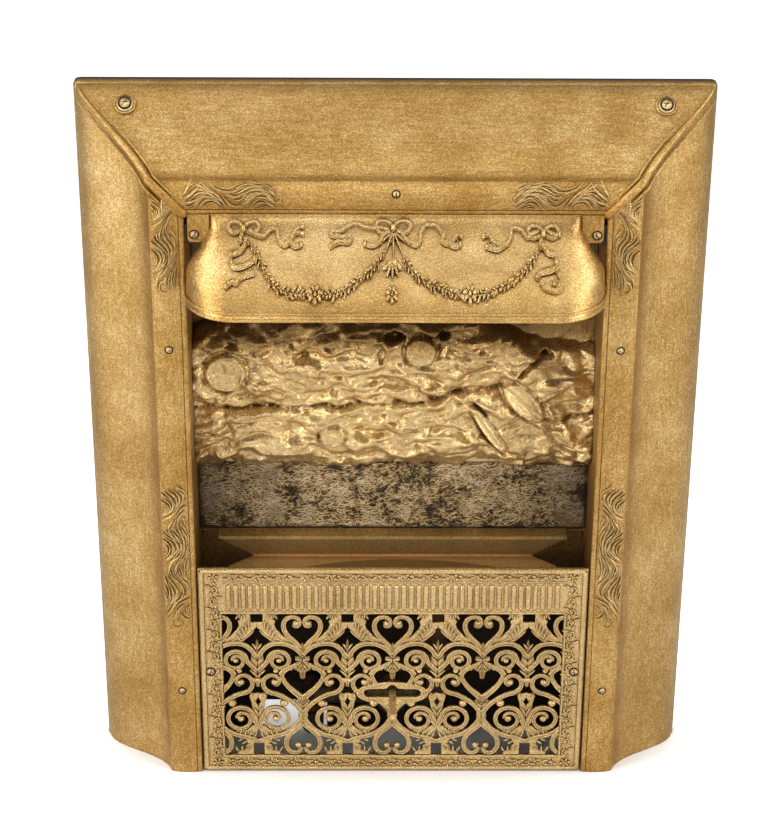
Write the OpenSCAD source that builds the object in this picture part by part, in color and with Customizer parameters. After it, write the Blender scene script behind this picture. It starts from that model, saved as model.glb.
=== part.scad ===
// Gas fireplace insert: a splayed metal surround with a flared hood, cast imitation
// logs, a fibre radiant, a burner with its mixer tube and cock, and an openwork grille.
// Millimetres. X runs to the right, Y into the wall and Z up. The origin is on the wall
// face, at the middle of the bottom edge.

/* [Surround] */
// Overall width of the surround
surround_w = 635; // [600:5:680]
// Overall height of the surround
surround_h = 762; // [730:5:800]
// Width of the frame round the fire opening
frame_w = 111; // [104:1:118]
// Depth from the wall to the crown of the moulding
surround_d = 88; // [84:1:94]
// Width of the moulding round the opening
moulding_w = 36; // [32:1:40]
// Thickness of the panels
panel_t = 2.5; // [2:0.1:3]
// Thickness of the moulding at its inner edge
moulding_t = 4; // [3.4:0.1:5]
// Depth of the plain return at the outer edge
return_d = 12; // [8:1:16]
// Radius of the bead that covers each mitre
bead_r = 4.6; // [3.5:0.1:5.5]

/* [Corner fixings] */
// Distance of the corner screws from the side edges
corner_screw_in = 53.5; // [48:0.5:60]
// Distance of the corner screws below the top edge
corner_screw_down = 17; // [15:0.5:20]
// Outer radius of the cup washers
cup_r = 9.5; // [8:0.5:11]
// Thickness of the corner brackets
bracket_t = 2.5; // [2:0.1:3]
// Radius of the rounded corner brackets
bracket_r = 40; // [34:1:44]

/* [Fire box] */
// Thickness of the fire box plates
shell_t = 1.6; // [1.2:0.1:2]
// Thickness of the back plate
back_t = 2; // [1.6:0.1:2.6]
// Width of the flanges behind the moulding
front_flange_w = 24; // [22:0.5:25]
// Width of the flanges on the back plate
rear_flange_w = 15; // [12:1:18]
// Width of the flue outlet
flue_w = 240; // [180:10:300]
// Height of the flue outlet
flue_h = 40; // [30:2:44]
// Width of the gas notch
notch_w = 74; // [66:1:80]
// Height of the gas notch
notch_h = 38; // [36:1:44]
// Distance of the notch's left edge from the middle
notch_left = 146; // [142:1:152]

/* [Hood] */
// Height of the hood
hood_h = 81; // [74:1:86]
// How far the hood's rim stands out from its back edge
hood_out = 77; // [68:1:84]
// Distance of the hood's neck from the sides of the opening
hood_neck_in = 26; // [22:0.5:32]
// Thickness of the hood
hood_t = 2; // [1.6:0.1:2.6]
// Radius of the rolled rim
rim_r = 2.2; // [1.8:0.1:3]
// Width of the hood's corner curve, seen from above
hood_corner_w = 50; // [40:1:56]
// Depth of the hood's corner curve, seen from above
hood_corner_d = 58; // [48:1:62]
// Width of each ear on the hood
ear_w = 21; // [18:1:22]
// Height of each ear on the hood
ear_h = 30; // [26:1:34]

/* [Logs and fibre] */
// Height of the fibre pad
fibre_h = 79; // [70:1:90]
// Thickness of the fibre pad
fibre_t = 14; // [12:0.5:16]
// Height of the stacked logs
logs_h = 150; // [140:2:156]
// How far the logs stand out from their plate
logs_out = 34; // [28:1:38]
// Thickness of the logs' plate
logs_t = 6; // [5:0.5:8]

/* [Burner] */
// Height of the burner's ports
port_z = 265; // [260:1:275]
// Length of the ported strip
ports_w = 371; // [350:1:380]
// Spacing of the ports
port_pitch = 8; // [7:0.5:12]
// Radius of a port
port_r = 1.2; // [0.9:0.1:1.6]
// Length of the burner's belly
belly_w = 296; // [280:2:310]
// Gap between the belly's front and the grille
belly_gap = 3.5; // [3:0.5:6]
// Flare of the belly's ends towards the front
belly_flare = 25; // [10:1:28]
// Wall of the burner casting
burner_t = 2.5; // [2:0.1:3]
// Distance of the mixer tube from the middle
mixer_x = 48; // [44:1:56]
// Outer radius of the mixer tube
mixer_r = 11; // [10.5:0.1:11.5]

/* [Cock and lever] */
// Height of the lever and of its slot
lever_z = 100; // [94:1:110]
// Distance of the cock's axis behind the grille's face
cock_back = 25; // [24:0.5:28]
// Length of the lever from the cock's axis
lever_len = 70; // [60:1:80]
// Width of the lever
lever_w = 7; // [6:0.5:8]
// Thickness of the lever
lever_t = 6; // [5:0.5:7]
// Outer radius of the cock's barrel
barrel_r = 14; // [13:0.5:16]
// Outer radius of the gas pipe
pipe_r = 8.6; // [8:0.1:9]
// Bore radius of the gas pipe
pipe_bore_r = 6.3; // [5.5:0.1:6.5]

/* [Grille] */
// Height of the grille
grille_h = 254; // [246:1:256]
// Thickness of the grille's openwork
grille_t = 4; // [3:0.5:5]
// Height of the raised work on the grille's face
relief_t = 1.5; // [1:0.1:2]
// Width of the border at the sides of the openwork field
border_w = 24.3; // [20:0.1:34]
// Height of the openwork field
field_h = 178; // [174:1:180]
// Height of the field's bottom edge
field_z = 20.5; // [16:0.5:22]
// Pitch of the scroll pattern
scroll_pitch = 96.3; // [92:0.1:100]
// Width of a scroll bar
bar_w = 5; // [4:0.1:5.6]
// Length of the lever's slot
slot_len = 61; // [58:1:66]
// Height of the lever's slot
slot_h = 9.6; // [9:0.1:11]
// Pitch of the reeds above the field
reed_pitch = 7.7; // [6:0.1:9]

/* [Fits] */
// Gap round the grille and the hood inside the opening
edge_gap = 1.2; // [0.8:0.1:1.6]
// Clearance of fixed screws and rivets in their holes
hole_gap = 0.15; // [0.1:0.05:0.3]
// Radial clearance of the turning fits
turn_gap = 0.06; // [0.03:0.01:0.1]
// Clearance round the fibre pad and behind formed plates
soft_gap = 0.3; // [0.2:0.1:0.5]

/* [Hidden] */
$fn = 48;

gold = "#b8903f";
dark_metal = "#4a3a26";
rusty = "#6b4a2c";
brass = "#a88a45";
fibre_grey = "#6f6256";

// Small overlap that lets pieces of one casting fuse
bite = 0.4;

// Opening
open_half = surround_w / 2 - frame_w;
lintel_z = surround_h - frame_w;
flat_back_y = -surround_d + moulding_t;
panel_w = frame_w - moulding_w;

// Section of the surround: distance in from the outer edge, then depth from the wall
shoulder = [[0.04, 0], [0.08, 0.24], [0.32, 0.39], [0.573, 0.56]];
cove = [[0.573, 0.56], [0.747, 0.676], [0.933, 0.836], [1, 1]];
edge_drop = 9;
crown = [[0, -3.5], [0.16, 0.4], [0.55, 0.5], [0.78, -0.8]];
groove_d = 1.4;

// Fire box
cheek_x = open_half + 0.5;
screw_r = 2;
rivet_r = 2;
flange_screw_x = cheek_x + 18.5;
moulding_screw_z = [105, 507];
lintel_screw_up = 22;
lintel_flange = lintel_screw_up + 6;
rivet_rows = 5;

// Hood and its fixings
hood_back_y = flat_back_y + hood_t;
hood_half = open_half - edge_gap + 0.2;
hood_neck_w = open_half - hood_neck_in;
ear_out = open_half - 3;
ear_screw_x = ear_out - 6.5;
ear_screw_down = 22;
angle_t = 2;
angle_leg = 22;

// Levels up the fire
chest_z = port_z - 3;
tray_z = port_z - 1;
fibre_z = tray_z + soft_gap;
logs_z = fibre_z + fibre_h + soft_gap;
plate_top_z = lintel_z - 51;
logs_y = -back_t - 4;
tray_t = 2;
fibre_front_y = -back_t - soft_gap - fibre_t;
chest_front_y = -33;
chest_back_y = -8;
chest_low_z = port_z - 24;
belly_low_z = port_z - 47;
chest_slope = 38;

// Grille and gas train
grille_y = -surround_d + 2;
grille_half = open_half - edge_gap;
field_w = 2 * (grille_half - border_w);
grille_back_y = grille_y + relief_t + grille_t;
belly_d = -grille_back_y - belly_gap;
grille_screw_x = grille_half - 10.8;
grille_screw_z = grille_h / 2;
slot_z = lever_z;
cock_y = grille_y + cock_back;
barrel_top_z = lever_z - lever_t / 2 - 1;
barrel_h = 26;
pipe_z = barrel_top_z - 13;
plug_r = 8;
plug_taper = 1.2;
stub_r = 4;
square_w = 7.5;
mixer_base_z = pipe_z + 39;
head_r = 14.5;
head_t = 2;
head_h = 24;
window_h = 12;
shutter_t = 2;
bend_r = 18;
drop_y = -back_t - 21;
drop_x = -88;
inlet_z = 22;
elbow_r = 12.5;
inlet_bore_r = 7.35;

function bezier(c, t) =
    c[0] * pow(1 - t, 3) + 3 * c[1] * t * pow(1 - t, 2)
    + 3 * c[2] * t * t * (1 - t) + c[3] * pow(t, 3);
function curve(c, n, first = 0) = [for (i = [first:n]) bezier(c, i / n)];
function smooth(t) = let (u = max(0, min(1, t))) u * u * (3 - 2 * u);
function blend(a, b, t) = a + (b - a) * t;
function unit2(v) = v / norm(v);
function reverse(list) = [for (i = [len(list) - 1:-1:0]) list[i]];
function along(p, i) = unit2(p[min(i + 1, len(p) - 1)] - p[max(i - 1, 0)]);
function shifted(p, d) =
    [for (i = [0:len(p) - 1]) let (t = along(p, i)) p[i] + d * [t[1], -t[0]]];

module both_sides() {
    children();
    mirror([1, 0, 0]) children();
}

// Cylinder along Y from y0 to y1
module rod_y(x, y0, y1, z, r) {
    translate([x, y0, z]) rotate([-90, 0, 0]) cylinder(h = y1 - y0, r = r);
}

// Cylinder along X from x0 to x1
module rod_x(x0, x1, y, z, r) {
    translate([x0, y, z]) rotate([0, 90, 0]) cylinder(h = x1 - x0, r = r);
}

module box(x0, x1, y0, y1, z0, z1) {
    translate([x0, y0, z0]) cube([x1 - x0, y1 - y0, z1 - z0]);
}

// Round slotted head that faces -Y, with its shank
module slotted_screw(x, y, z, head_r, head_h, shank, turn = 0) {
    translate([x, y, z]) rotate([90, turn, 0]) difference() {
        union() {
            intersection() {
                translate([0, 0, head_h - head_r * 1.25]) sphere(r = head_r * 1.25);
                cylinder(h = head_h, r = head_r);
            }
            translate([0, 0, -shank]) cylinder(h = shank + bite, r = screw_r);
        }
        translate([-head_r, -0.5, head_h * 0.45]) cube([2 * head_r, 1, head_h]);
    }
}

// ---------- surround ----------

function to_panel(c) =
    [c[0] * panel_w, return_d + c[1] * (surround_d - edge_drop - return_d)];
function slope_line(n) =
    concat(curve([for (c = shoulder) to_panel(c)], n),
           curve([for (c = cove) to_panel(c)], n, 1));
function moulding_line() = concat(
    curve([for (c = crown) [panel_w + 2 + c[0] * moulding_w, surround_d + c[1]]], 6),
    [[frame_w - 6.4, surround_d - groove_d - 1],
     [frame_w - 5.2, surround_d - groove_d - 1]],
    curve([[frame_w - 5, surround_d - 0.9], [frame_w - 2.5, surround_d - 0.5],
           [frame_w - 0.2, surround_d - 1.4], [frame_w, surround_d - moulding_t]], 4));
front_line = concat([[0, 0]], slope_line(8), moulding_line());
back_line = concat(
    [[panel_t, 0]], shifted(slope_line(8), panel_t),
    [[panel_w + 4.6, surround_d - moulding_t - 1.6],
     [panel_w + 7.4, surround_d - moulding_t]]);
section = concat(front_line, reverse(back_line));

module side_region(grow = 1) {
    rotate([90, 0, 0]) linear_extrude(height = 3 * surround_d, center = true)
        polygon([
            [-surround_w / 2 - grow, -grow], [-open_half + grow, -grow],
            [-open_half + grow, lintel_z - grow],
            [-surround_w / 2 - grow, surround_h + grow]
        ]);
}

module top_region(grow = 1) {
    rotate([90, 0, 0]) linear_extrude(height = 3 * surround_d, center = true)
        polygon([
            [-surround_w / 2 - grow, surround_h + grow],
            [surround_w / 2 + grow, surround_h + grow],
            [open_half - grow, lintel_z - grow],
            [-open_half + grow, lintel_z - grow]
        ]);
}

module side_prism(outline) {
    linear_extrude(height = surround_h)
        polygon([for (p = outline) [p[0] - surround_w / 2, -p[1]]]);
}

module top_prism(outline) {
    rotate([90, 0, 90]) linear_extrude(height = surround_w, center = true)
        polygon([for (p = outline) [-p[1], surround_h - p[0]]]);
}

module moulding_holes() {
    for (z = moulding_screw_z)
        rod_y(-flange_screw_x, -surround_d - 5, flat_back_y + 10, z,
              screw_r + hole_gap);
}

module side_panel() {
    difference() {
        intersection() {
            side_prism(section);
            side_region();
        }
        moulding_holes();
    }
}

module left_panel() {
    color(gold) side_panel();
}

module right_panel() {
    color(gold) mirror([1, 0, 0]) side_panel();
}

// Mitre bead: a round bar swept up the joint, thin at the top corner and full at its tip
bead_steps = 26;
bead_sides = 10;
function bead_s(i) = blend(5, frame_w + 1, i / bead_steps);
function bead_size(i) =
    let (t = i / bead_steps) i == 0 || i == bead_steps ? 0.15
        : bead_r * (0.55 + 0.45 * smooth(t * 2)) * (t > 0.93 ? 0.72 : 1);
function bead_point(i) =
    let (s = bead_s(i), tip = smooth((i / bead_steps - 0.9) * 10))
    [-surround_w / 2 + s,
     -lookup(min(s, frame_w - 7), front_line) - 0.25 * bead_size(i) + 5 * tip,
     surround_h - s];
function bead_ring(i) =
    let (a = bead_point(max(i - 1, 0)), b = bead_point(min(i + 1, bead_steps)),
         t = (b - a) / norm(b - a), u = [1, 0, 1] / sqrt(2), v = cross(t, u))
    [for (k = [0:bead_sides - 1]) let (q = 360 * k / bead_sides)
        bead_point(i) + bead_size(i) * (u * cos(q) + v * sin(q))];

module mitre_bead() {
    n = bead_sides;
    points = [for (i = [0:bead_steps]) each bead_ring(i)];
    walls = [for (i = [0:bead_steps - 1]) for (k = [0:n - 1])
        let (a = i * n + k, b = i * n + (k + 1) % n)
        each [[a, b + n, b], [a, a + n, b + n]]];
    ends = [[for (k = [0:n - 1]) k], [for (k = [n - 1:-1:0]) bead_steps * n + k]];
    polyhedron(points, concat(walls, ends));
}

// The bead is cast on the top panel and only covers the side panel
bead_gap = 0.06;
module fitted_bead() {
    far = 20;
    side_cut = concat([[-far, -far], [-far, 0]], shifted(front_line, -bead_gap),
                      [[frame_w + far, surround_d - moulding_t + bead_gap],
                       [frame_w + far, -far]]);
    top_cut = concat([[-far, -far], [-far, 0]], shifted(slope_line(8), panel_t / 2),
                     [[panel_w + 4, surround_d - moulding_t + 1.5],
                      [frame_w + far, surround_d - moulding_t + 1.5],
                      [frame_w + far, -far]]);
    difference() {
        mitre_bead();
        intersection() {
            side_prism(side_cut);
            side_region(far / 2);
        }
        intersection() {
            top_prism(top_cut);
            top_region(far / 2);
        }
    }
}

// Seat of a corner screw: its place on the panel and the panel's tilt there
corner_tilt = atan2(
    lookup(corner_screw_down + 2, front_line) - lookup(corner_screw_down - 2, front_line),
    4);
corner_d = lookup(corner_screw_down, front_line);
module at_corner_screw() {
    translate([-surround_w / 2 + corner_screw_in, -corner_d, surround_h - corner_screw_down])
        rotate([90 - corner_tilt, 0, 0]) children();
}
washer_seat = 1;
nut_seat = panel_t + bracket_t + 2.2;
corner_hole_r = screw_r + 0.5 + hole_gap;

module top_panel() {
    color(gold) difference() {
        union() {
            intersection() {
                top_prism(section);
                top_region();
            }
            both_sides() fitted_bead();
            both_sides() at_corner_screw()
                translate([0, 0, -panel_t + bite])
                    cylinder(h = panel_t + washer_seat - bite, r = cup_r + 1);
        }
        both_sides() at_corner_screw()
            translate([0, 0, -20]) cylinder(h = 40, r = corner_hole_r);
        rod_y(0, -surround_d - 5, flat_back_y + 10, lintel_z + lintel_screw_up,
              screw_r + hole_gap);
    }
}

bracket_line = concat(
    shifted(slope_line(8), panel_t + soft_gap),
    reverse(shifted(slope_line(8), panel_t + soft_gap + bracket_t)));

module corner_bracket() {
    difference() {
        union() {
            intersection() {
                union() {
                    intersection() {
                        top_prism(bracket_line);
                        top_region(0);
                    }
                    intersection() {
                        side_prism(bracket_line);
                        side_region(0);
                    }
                }
                rod_y(-surround_w / 2 + corner_screw_in - 6, -surround_d, 0,
                      surround_h - corner_screw_down - 18, bracket_r);
            }
            at_corner_screw() translate([0, 0, -nut_seat])
                cylinder(h = nut_seat - panel_t - soft_gap - 0.6, r = 8);
        }
        at_corner_screw() translate([0, 0, -20]) cylinder(h = 40, r = corner_hole_r);
    }
}

module corner_brackets() {
    color(dark_metal) both_sides() corner_bracket();
}

module corner_washers() {
    color(gold) both_sides() at_corner_screw() translate([0, 0, washer_seat])
        rotate_extrude() difference() {
            intersection() {
                translate([0, -cup_r * 0.85]) circle(r = cup_r * 1.25);
                translate([corner_hole_r, 0]) square([cup_r - corner_hole_r, 4.6]);
            }
            translate([0, 2]) square([5.4, 6]);
        }
}

module corner_screws() {
    color(gold) both_sides() at_corner_screw() {
        translate([0, 0, washer_seat + 2]) difference() {
            union() {
                intersection() {
                    translate([0, 0, -2.4]) sphere(r = 6);
                    cylinder(h = 4, r = 5.2);
                }
                translate([0, 0, -washer_seat - nut_seat - 7])
                    cylinder(h = washer_seat + nut_seat + 7 + bite, r = screw_r + 0.5);
            }
            translate([-6, -0.6, 2]) cube([12, 1.2, 4]);
        }
    }
}

module corner_nuts() {
    color(dark_metal) both_sides() at_corner_screw()
        translate([0, 0, -nut_seat - 3.5]) difference() {
            cylinder(h = 3.5, r = 5, $fn = 6);
            translate([0, 0, -1]) cylinder(h = 6, r = screw_r + 0.5 + hole_gap);
        }
}

module moulding_screws() {
    color(gold) {
        for (side = [-1, 1], z = moulding_screw_z)
            slotted_screw(side * flange_screw_x,
                          -lookup(surround_w / 2 - flange_screw_x, front_line) - 0.3,
                          z, 3.2, 1.6, moulding_t + shell_t + 3, 30 * side);
        slotted_screw(0, -lookup(frame_w - lintel_screw_up, front_line) - 0.3,
                      lintel_z + lintel_screw_up, 3.2, 1.6, moulding_t + shell_t + 3, 90);
    }
}

// ---------- fire box ----------

rivet_x = cheek_x + shell_t + rear_flange_w * 0.55;
function rivet_z(i) = blend(60, lintel_z - 30, i / (rivet_rows - 1));
top_rivet_x = [-150, -50, 50, 150];
top_rivet_z = lintel_z + shell_t + rear_flange_w * 0.55;
peg_x = 120;
peg_r = 4;
crevice_rise = 0.045;
function peg_z(side) = logs_z + logs_h * 0.495 + side * peg_x * crevice_rise;
bolt_x = 130;
bolt_z = plate_top_z - 18;
clip_z = pipe_z - 26;
clip_half = 17;

module shell_rivet_places() {
    for (side = [-1, 1], i = [0:rivet_rows - 1])
        translate([side * rivet_x, 0, rivet_z(i)]) children();
    for (x = top_rivet_x)
        translate([x, 0, top_rivet_z]) children();
}

module back_plate() {
    wide = cheek_x + shell_t + rear_flange_w;
    color(dark_metal) difference() {
        box(-wide, wide, -back_t, 0, 0, lintel_z + shell_t + rear_flange_w);
        box(-flue_w / 2, flue_w / 2, -back_t - 1, 1,
            plate_top_z + 6, plate_top_z + 6 + flue_h);
        box(-notch_left, -notch_left + notch_w, -back_t - 1, 1, -1, notch_h);
        shell_rivet_places() rod_y(0, -back_t - 1, 1, 0, rivet_r + hole_gap);
        for (side = [-1, 1]) {
            rod_y(side * peg_x, -back_t - 1, 1, peg_z(side), peg_r + hole_gap);
            rod_y(side * bolt_x, -back_t - 1, 1, bolt_z, screw_r + 0.5 + hole_gap);
            rod_y(drop_x + side * clip_half, -back_t - 1, 1, clip_z, screw_r + hole_gap);
        }
    }
}

module shell_rivets() {
    color(dark_metal) shell_rivet_places() {
        rod_y(0, -back_t - shell_t - 0.1, -0.2, 0, rivet_r);
        translate([0, -back_t - shell_t, 0]) rotate([90, 0, 0])
            intersection() {
                translate([0, 0, -2]) sphere(r = 4.2);
                cylinder(h = 3, r = 3.6);
            }
    }
}

// Bracket places on the cheeks
hood_angle_z = lintel_z - ear_screw_down;
grille_angle_z = grille_screw_z;
tray_tab_h = 16;
tray_rivet_y = -back_t - 8;
angle_rivet_y = flat_back_y + 18;

module cheek() {
    section = [
        [-cheek_x, flat_back_y], [-cheek_x, -back_t],
        [-cheek_x - shell_t - rear_flange_w, -back_t],
        [-cheek_x - shell_t - rear_flange_w, -back_t - shell_t],
        [-cheek_x - shell_t, -back_t - shell_t],
        [-cheek_x - shell_t, flat_back_y + shell_t],
        [-cheek_x - front_flange_w, flat_back_y + shell_t],
        [-cheek_x - front_flange_w, flat_back_y]
    ];
    difference() {
        linear_extrude(height = lintel_z) polygon(section);
        moulding_holes();
        for (i = [0:rivet_rows - 1])
            rod_y(-rivet_x, -back_t - shell_t - 1, -back_t + 1, rivet_z(i),
                  rivet_r + hole_gap);
        for (z = [hood_angle_z, grille_angle_z])
            rod_x(-cheek_x - 5, -cheek_x + 1, angle_rivet_y, z, rivet_r + hole_gap);
        rod_x(-cheek_x - 5, -cheek_x + 1, tray_rivet_y, tray_z - tray_tab_h / 2,
              rivet_r + hole_gap);
    }
}

module left_cheek() {
    color(rusty) cheek();
}

module right_cheek() {
    color(rusty) mirror([1, 0, 0]) cheek();
}

module top_plate() {
    z = lintel_z;
    section = [
        [flat_back_y, z], [-back_t, z], [-back_t, z + shell_t + rear_flange_w],
        [-back_t - shell_t, z + shell_t + rear_flange_w],
        [-back_t - shell_t, z + shell_t], [flat_back_y + shell_t, z + shell_t],
        [flat_back_y + shell_t, z + lintel_flange], [flat_back_y, z + lintel_flange]
    ];
    color(dark_metal) difference() {
        rotate([90, 0, 90])
            linear_extrude(height = 2 * (cheek_x + shell_t), center = true)
                polygon(section);
        rod_y(0, flat_back_y - 1, flat_back_y + 5, lintel_z + lintel_screw_up,
              screw_r + hole_gap);
        for (x = top_rivet_x)
            rod_y(x, -back_t - shell_t - 1, -back_t + 1, top_rivet_z, rivet_r + hole_gap);
    }
}

// Angle on a cheek that takes a screw from the front
module front_angle(y, x_in, z, tall, hole_x) {
    difference() {
        union() {
            box(-cheek_x, -x_in, y, y + angle_t, z - tall / 2, z + tall / 2);
            box(-cheek_x, -cheek_x + angle_t, y, y + angle_leg, z - tall / 2, z + tall / 2);
        }
        rod_y(-hole_x, y - 1, y + 5, z, screw_r + hole_gap);
        rod_x(-cheek_x - 1, -cheek_x + 5, angle_rivet_y, z, rivet_r + hole_gap);
    }
}

module bracket_rivets() {
    color(dark_metal) for (side = [-1, 1], z = [hood_angle_z, grille_angle_z])
        translate([side * (cheek_x - angle_t), angle_rivet_y, z])
            rotate([0, -side * 90, 0]) {
                intersection() {
                    translate([0, 0, -2]) sphere(r = 4);
                    cylinder(h = 3, r = 3.4);
                }
                translate([0, 0, -angle_t - shell_t])
                    cylinder(h = angle_t + shell_t + bite, r = rivet_r);
            }
}

// ---------- hood ----------

hood_levels = 20;
hood_arc = 10;
neck_out = 5;
function hood_t_at(k) = k / hood_levels;
function hood_z(k) = lintel_z - 0.4 - (hood_h - 0.4) * hood_t_at(k);
function hood_w(t) = blend(hood_neck_w, hood_half, smooth((t - 0.12) / 0.62));
function hood_fwd(t) = blend(neck_out, hood_out,
                             0.3 * max(0, (t - 0.04) / 0.96) + 0.7 * smooth((t - 0.04) / 0.96));
// One level of the hood as seen from above, pulled in by a wall
function hood_plan(k, inset) =
    let (t = hood_t_at(k), w = hood_w(t) - inset, f = hood_fwd(t) - inset,
         cw = min(hood_corner_w * smooth(0.25 + t), w * 0.8),
         cd = min(hood_corner_d, f * 0.85),
         arc = [for (i = [0:hood_arc]) let (a = 180 - 90 * i / hood_arc)
             [-w + cw + cw * cos(a), -(f - cd) - cd * sin(a)]],
         half = concat([[-w, 0]], arc, [[-w * 0.35, -f]]))
    concat(half, [for (p = reverse(half)) [-p[0], p[1]]]);

module hood_shell() {
    outer = [for (k = [0:hood_levels]) for (p = hood_plan(k, 0))
        [p[0], hood_back_y + p[1], hood_z(k)]];
    inner = [for (k = [0:hood_levels]) for (p = hood_plan(k, hood_t))
        [p[0], hood_back_y + p[1], hood_z(k)]];
    n = len(hood_plan(0, 0));
    m = len(outer);
    skin = [for (k = [0:hood_levels - 1]) for (i = [0:n - 2])
        let (a = k * n + i, b = a + 1)
        each [[a, b, b + n], [a, b + n, a + n],
              [m + a, m + b + n, m + b], [m + a, m + a + n, m + b + n]]];
    rims = [for (i = [0:n - 2]) let (a = i, b = hood_levels * n + i)
        each [[a, m + a + 1, a + 1], [a, m + a, m + a + 1],
              [b, b + 1, m + b + 1], [b, m + b + 1, m + b]]];
    sides = [for (k = [0:hood_levels - 1]) let (a = k * n, b = k * n + n - 1)
        each [[a, a + n, m + a + n], [a, m + a + n, m + a],
              [b, m + b + n, b + n], [b, m + b, m + b + n]]];
    polyhedron(concat(outer, inner), concat(skin, rims, sides));
}

// Rolled rim: a round bar that follows the hood's lowest edge
module hood_rim() {
    n = 8;
    path = hood_plan(hood_levels, hood_t / 2);
    last = len(path) - 1;
    z = hood_z(hood_levels) + 0.3;
    points = [for (i = [0:last]) let (t = along(path, i)) for (k = [0:n - 1])
        let (q = 360 * k / n + 22.5, r = rim_r * cos(q))
        [path[i][0] - t[1] * r, hood_back_y + path[i][1] + t[0] * r,
         z + rim_r * sin(q)]];
    walls = [for (i = [0:last - 1]) for (k = [0:n - 1])
        let (a = i * n + k, b = i * n + (k + 1) % n)
        each [[a, b + n, b], [a, a + n, b + n]]];
    ends = [[for (k = [0:n - 1]) k], [for (k = [n - 1:-1:0]) last * n + k]];
    polyhedron(points, concat(walls, ends));
}

module hood() {
    color(gold) {
        difference() {
            union() {
                hood_shell();
                hood_rim();
                both_sides() box(-ear_out, -ear_out + ear_w + 3, hood_back_y - hood_t,
                                 hood_back_y, lintel_z - ear_h, lintel_z - 0.4);
            }
            both_sides() rod_y(-ear_screw_x, hood_back_y - 5, hood_back_y + 5,
                               lintel_z - ear_screw_down, screw_r + hole_gap);
        }
    }
}

module hood_brackets() {
    color(dark_metal) both_sides()
        front_angle(hood_back_y, ear_screw_x - 8, hood_angle_z, 20, ear_screw_x);
}

module hood_screws() {
    color(gold) for (side = [-1, 1])
        slotted_screw(side * ear_screw_x, hood_back_y - hood_t,
                      lintel_z - ear_screw_down, 4, 2, hood_t + angle_t + 3, 20);
}

// ---------- logs and fibre ----------

// Relief slab: a front face given by a height for each column and row, flat at the back
function ridge(x, k, shift) = sin(x * k + shift);
function bark(x, z) =
    1.2 * ridge(x, 2.1, z * 3) * ridge(z, 19, 30 * ridge(x, 1.3, 0))
    + 0.9 * ridge(z, 31, 40 * ridge(x, 0.9, 50))
    + 0.8 * ridge(x, 7.3, z * 5);
function bump(x, z, cx, cz, rx, rz) =
    let (q = pow((x - cx) / rx, 2) + pow((z - cz) / rz, 2)) q > 1 ? 0 : sqrt(1 - q);
function log_round(z, zc, r) =
    let (q = abs(z - zc) / r) q > 1 ? 0 : sqrt(1 - q * q);
function log_face(x, z) =
    let (h = z - logs_z - crevice_rise * x,
         low = log_round(h, logs_h * 0.25, logs_h * 0.30),
         high = log_round(h, logs_h * 0.74, logs_h * 0.30))
    max(low, high) * logs_out + (max(low, high) > 0.15 ? bark(x, z) : 0)
    + 5 * bump(x, h, -172, logs_h * 0.70, 24, 21)
    + 4 * bump(x, h, 28, logs_h * 0.86, 15, 13)
    + 4 * bump(x, h, -62, logs_h * 0.22, 14, 12)
    + 6 * bump(x + (h - logs_h * 0.5) * 0.8, h, 133, logs_h * 0.48, 14, 24);

module relief_slab(width, z0, z1, y_front, y_back, cols, rows) {
    nc = cols + 1;
    nr = rows + 1;
    front = [for (j = [0:rows]) for (i = [0:cols])
        let (x = blend(-width / 2, width / 2, i / cols), z = blend(z0, z1, j / rows))
        [x, y_front - $face[j * nc + i], z]];
    rim = concat([for (i = [0:cols]) i], [for (j = [1:rows]) j * nc + cols],
                 [for (i = [cols - 1:-1:0]) rows * nc + i],
                 [for (j = [rows - 1:-1:1]) j * nc]);
    m = len(rim);
    back = [for (k = rim) [front[k][0], y_back, front[k][2]]];
    centre = [[0, y_back, (z0 + z1) / 2]];
    base = nc * nr;
    skin = [for (j = [0:rows - 1]) for (i = [0:cols - 1]) let (a = j * nc + i)
        each [[a, a + nc + 1, a + 1], [a, a + nc, a + nc + 1]]];
    walls = [for (k = [0:m - 1]) let (l = (k + 1) % m)
        each [[rim[k], rim[l], base + l], [rim[k], base + l, base + k]]];
    rear = [for (k = [0:m - 1]) [base + k, base + (k + 1) % m, base + m]];
    polyhedron(concat(front, back, centre), concat(skin, walls, rear));
}

// The casting is hollow behind each log
module log_hollow(z) {
    high = logs_h * 0.18;
    deep = logs_out * 0.7;
    translate([0, 0, z]) rotate([90, -atan(crevice_rise), 90])
        linear_extrude(height = 2 * logs_half - 30, center = true)
            polygon(concat([[logs_y + 1, -high], [logs_y + 1, high]],
                           [for (a = [90:-22.5:-90])
                               [logs_y - logs_t - deep * cos(a), high * sin(a)]]));
}

log_cols = 62;
log_rows = 30;
logs_half = cheek_x - 0.6;
module log_fireback() {
    $face = [for (j = [0:log_rows]) for (i = [0:log_cols])
        let (x = blend(-logs_half, logs_half, i / log_cols),
             z = blend(logs_z, logs_z + logs_h, j / log_rows))
        max(0.4, log_face(x, z))];
    color(gold) {
        difference() {
            union() {
                relief_slab(2 * logs_half, logs_z, logs_z + logs_h, logs_y - logs_t,
                            logs_y, log_cols, log_rows);
                box(-logs_half, logs_half, logs_y - logs_t, logs_y,
                    logs_z + logs_h - 2, plate_top_z);
                for (side = [-1, 1]) {
                    rod_y(side * bolt_x, logs_y - bite, -back_t, bolt_z, 9);
                    rod_y(side * peg_x, logs_y - bite, -back_t, peg_z(side), 8);
                    rod_y(side * peg_x, logs_y, -0.2, peg_z(side), peg_r);
                }
            }
            log_hollow(logs_z + logs_h * 0.25);
            log_hollow(logs_z + logs_h * 0.74);
            for (side = [-1, 1])
                rod_y(side * bolt_x, logs_y - logs_t - 1, 1, bolt_z,
                      screw_r + 0.5 + hole_gap);
        }
    }
}

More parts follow.
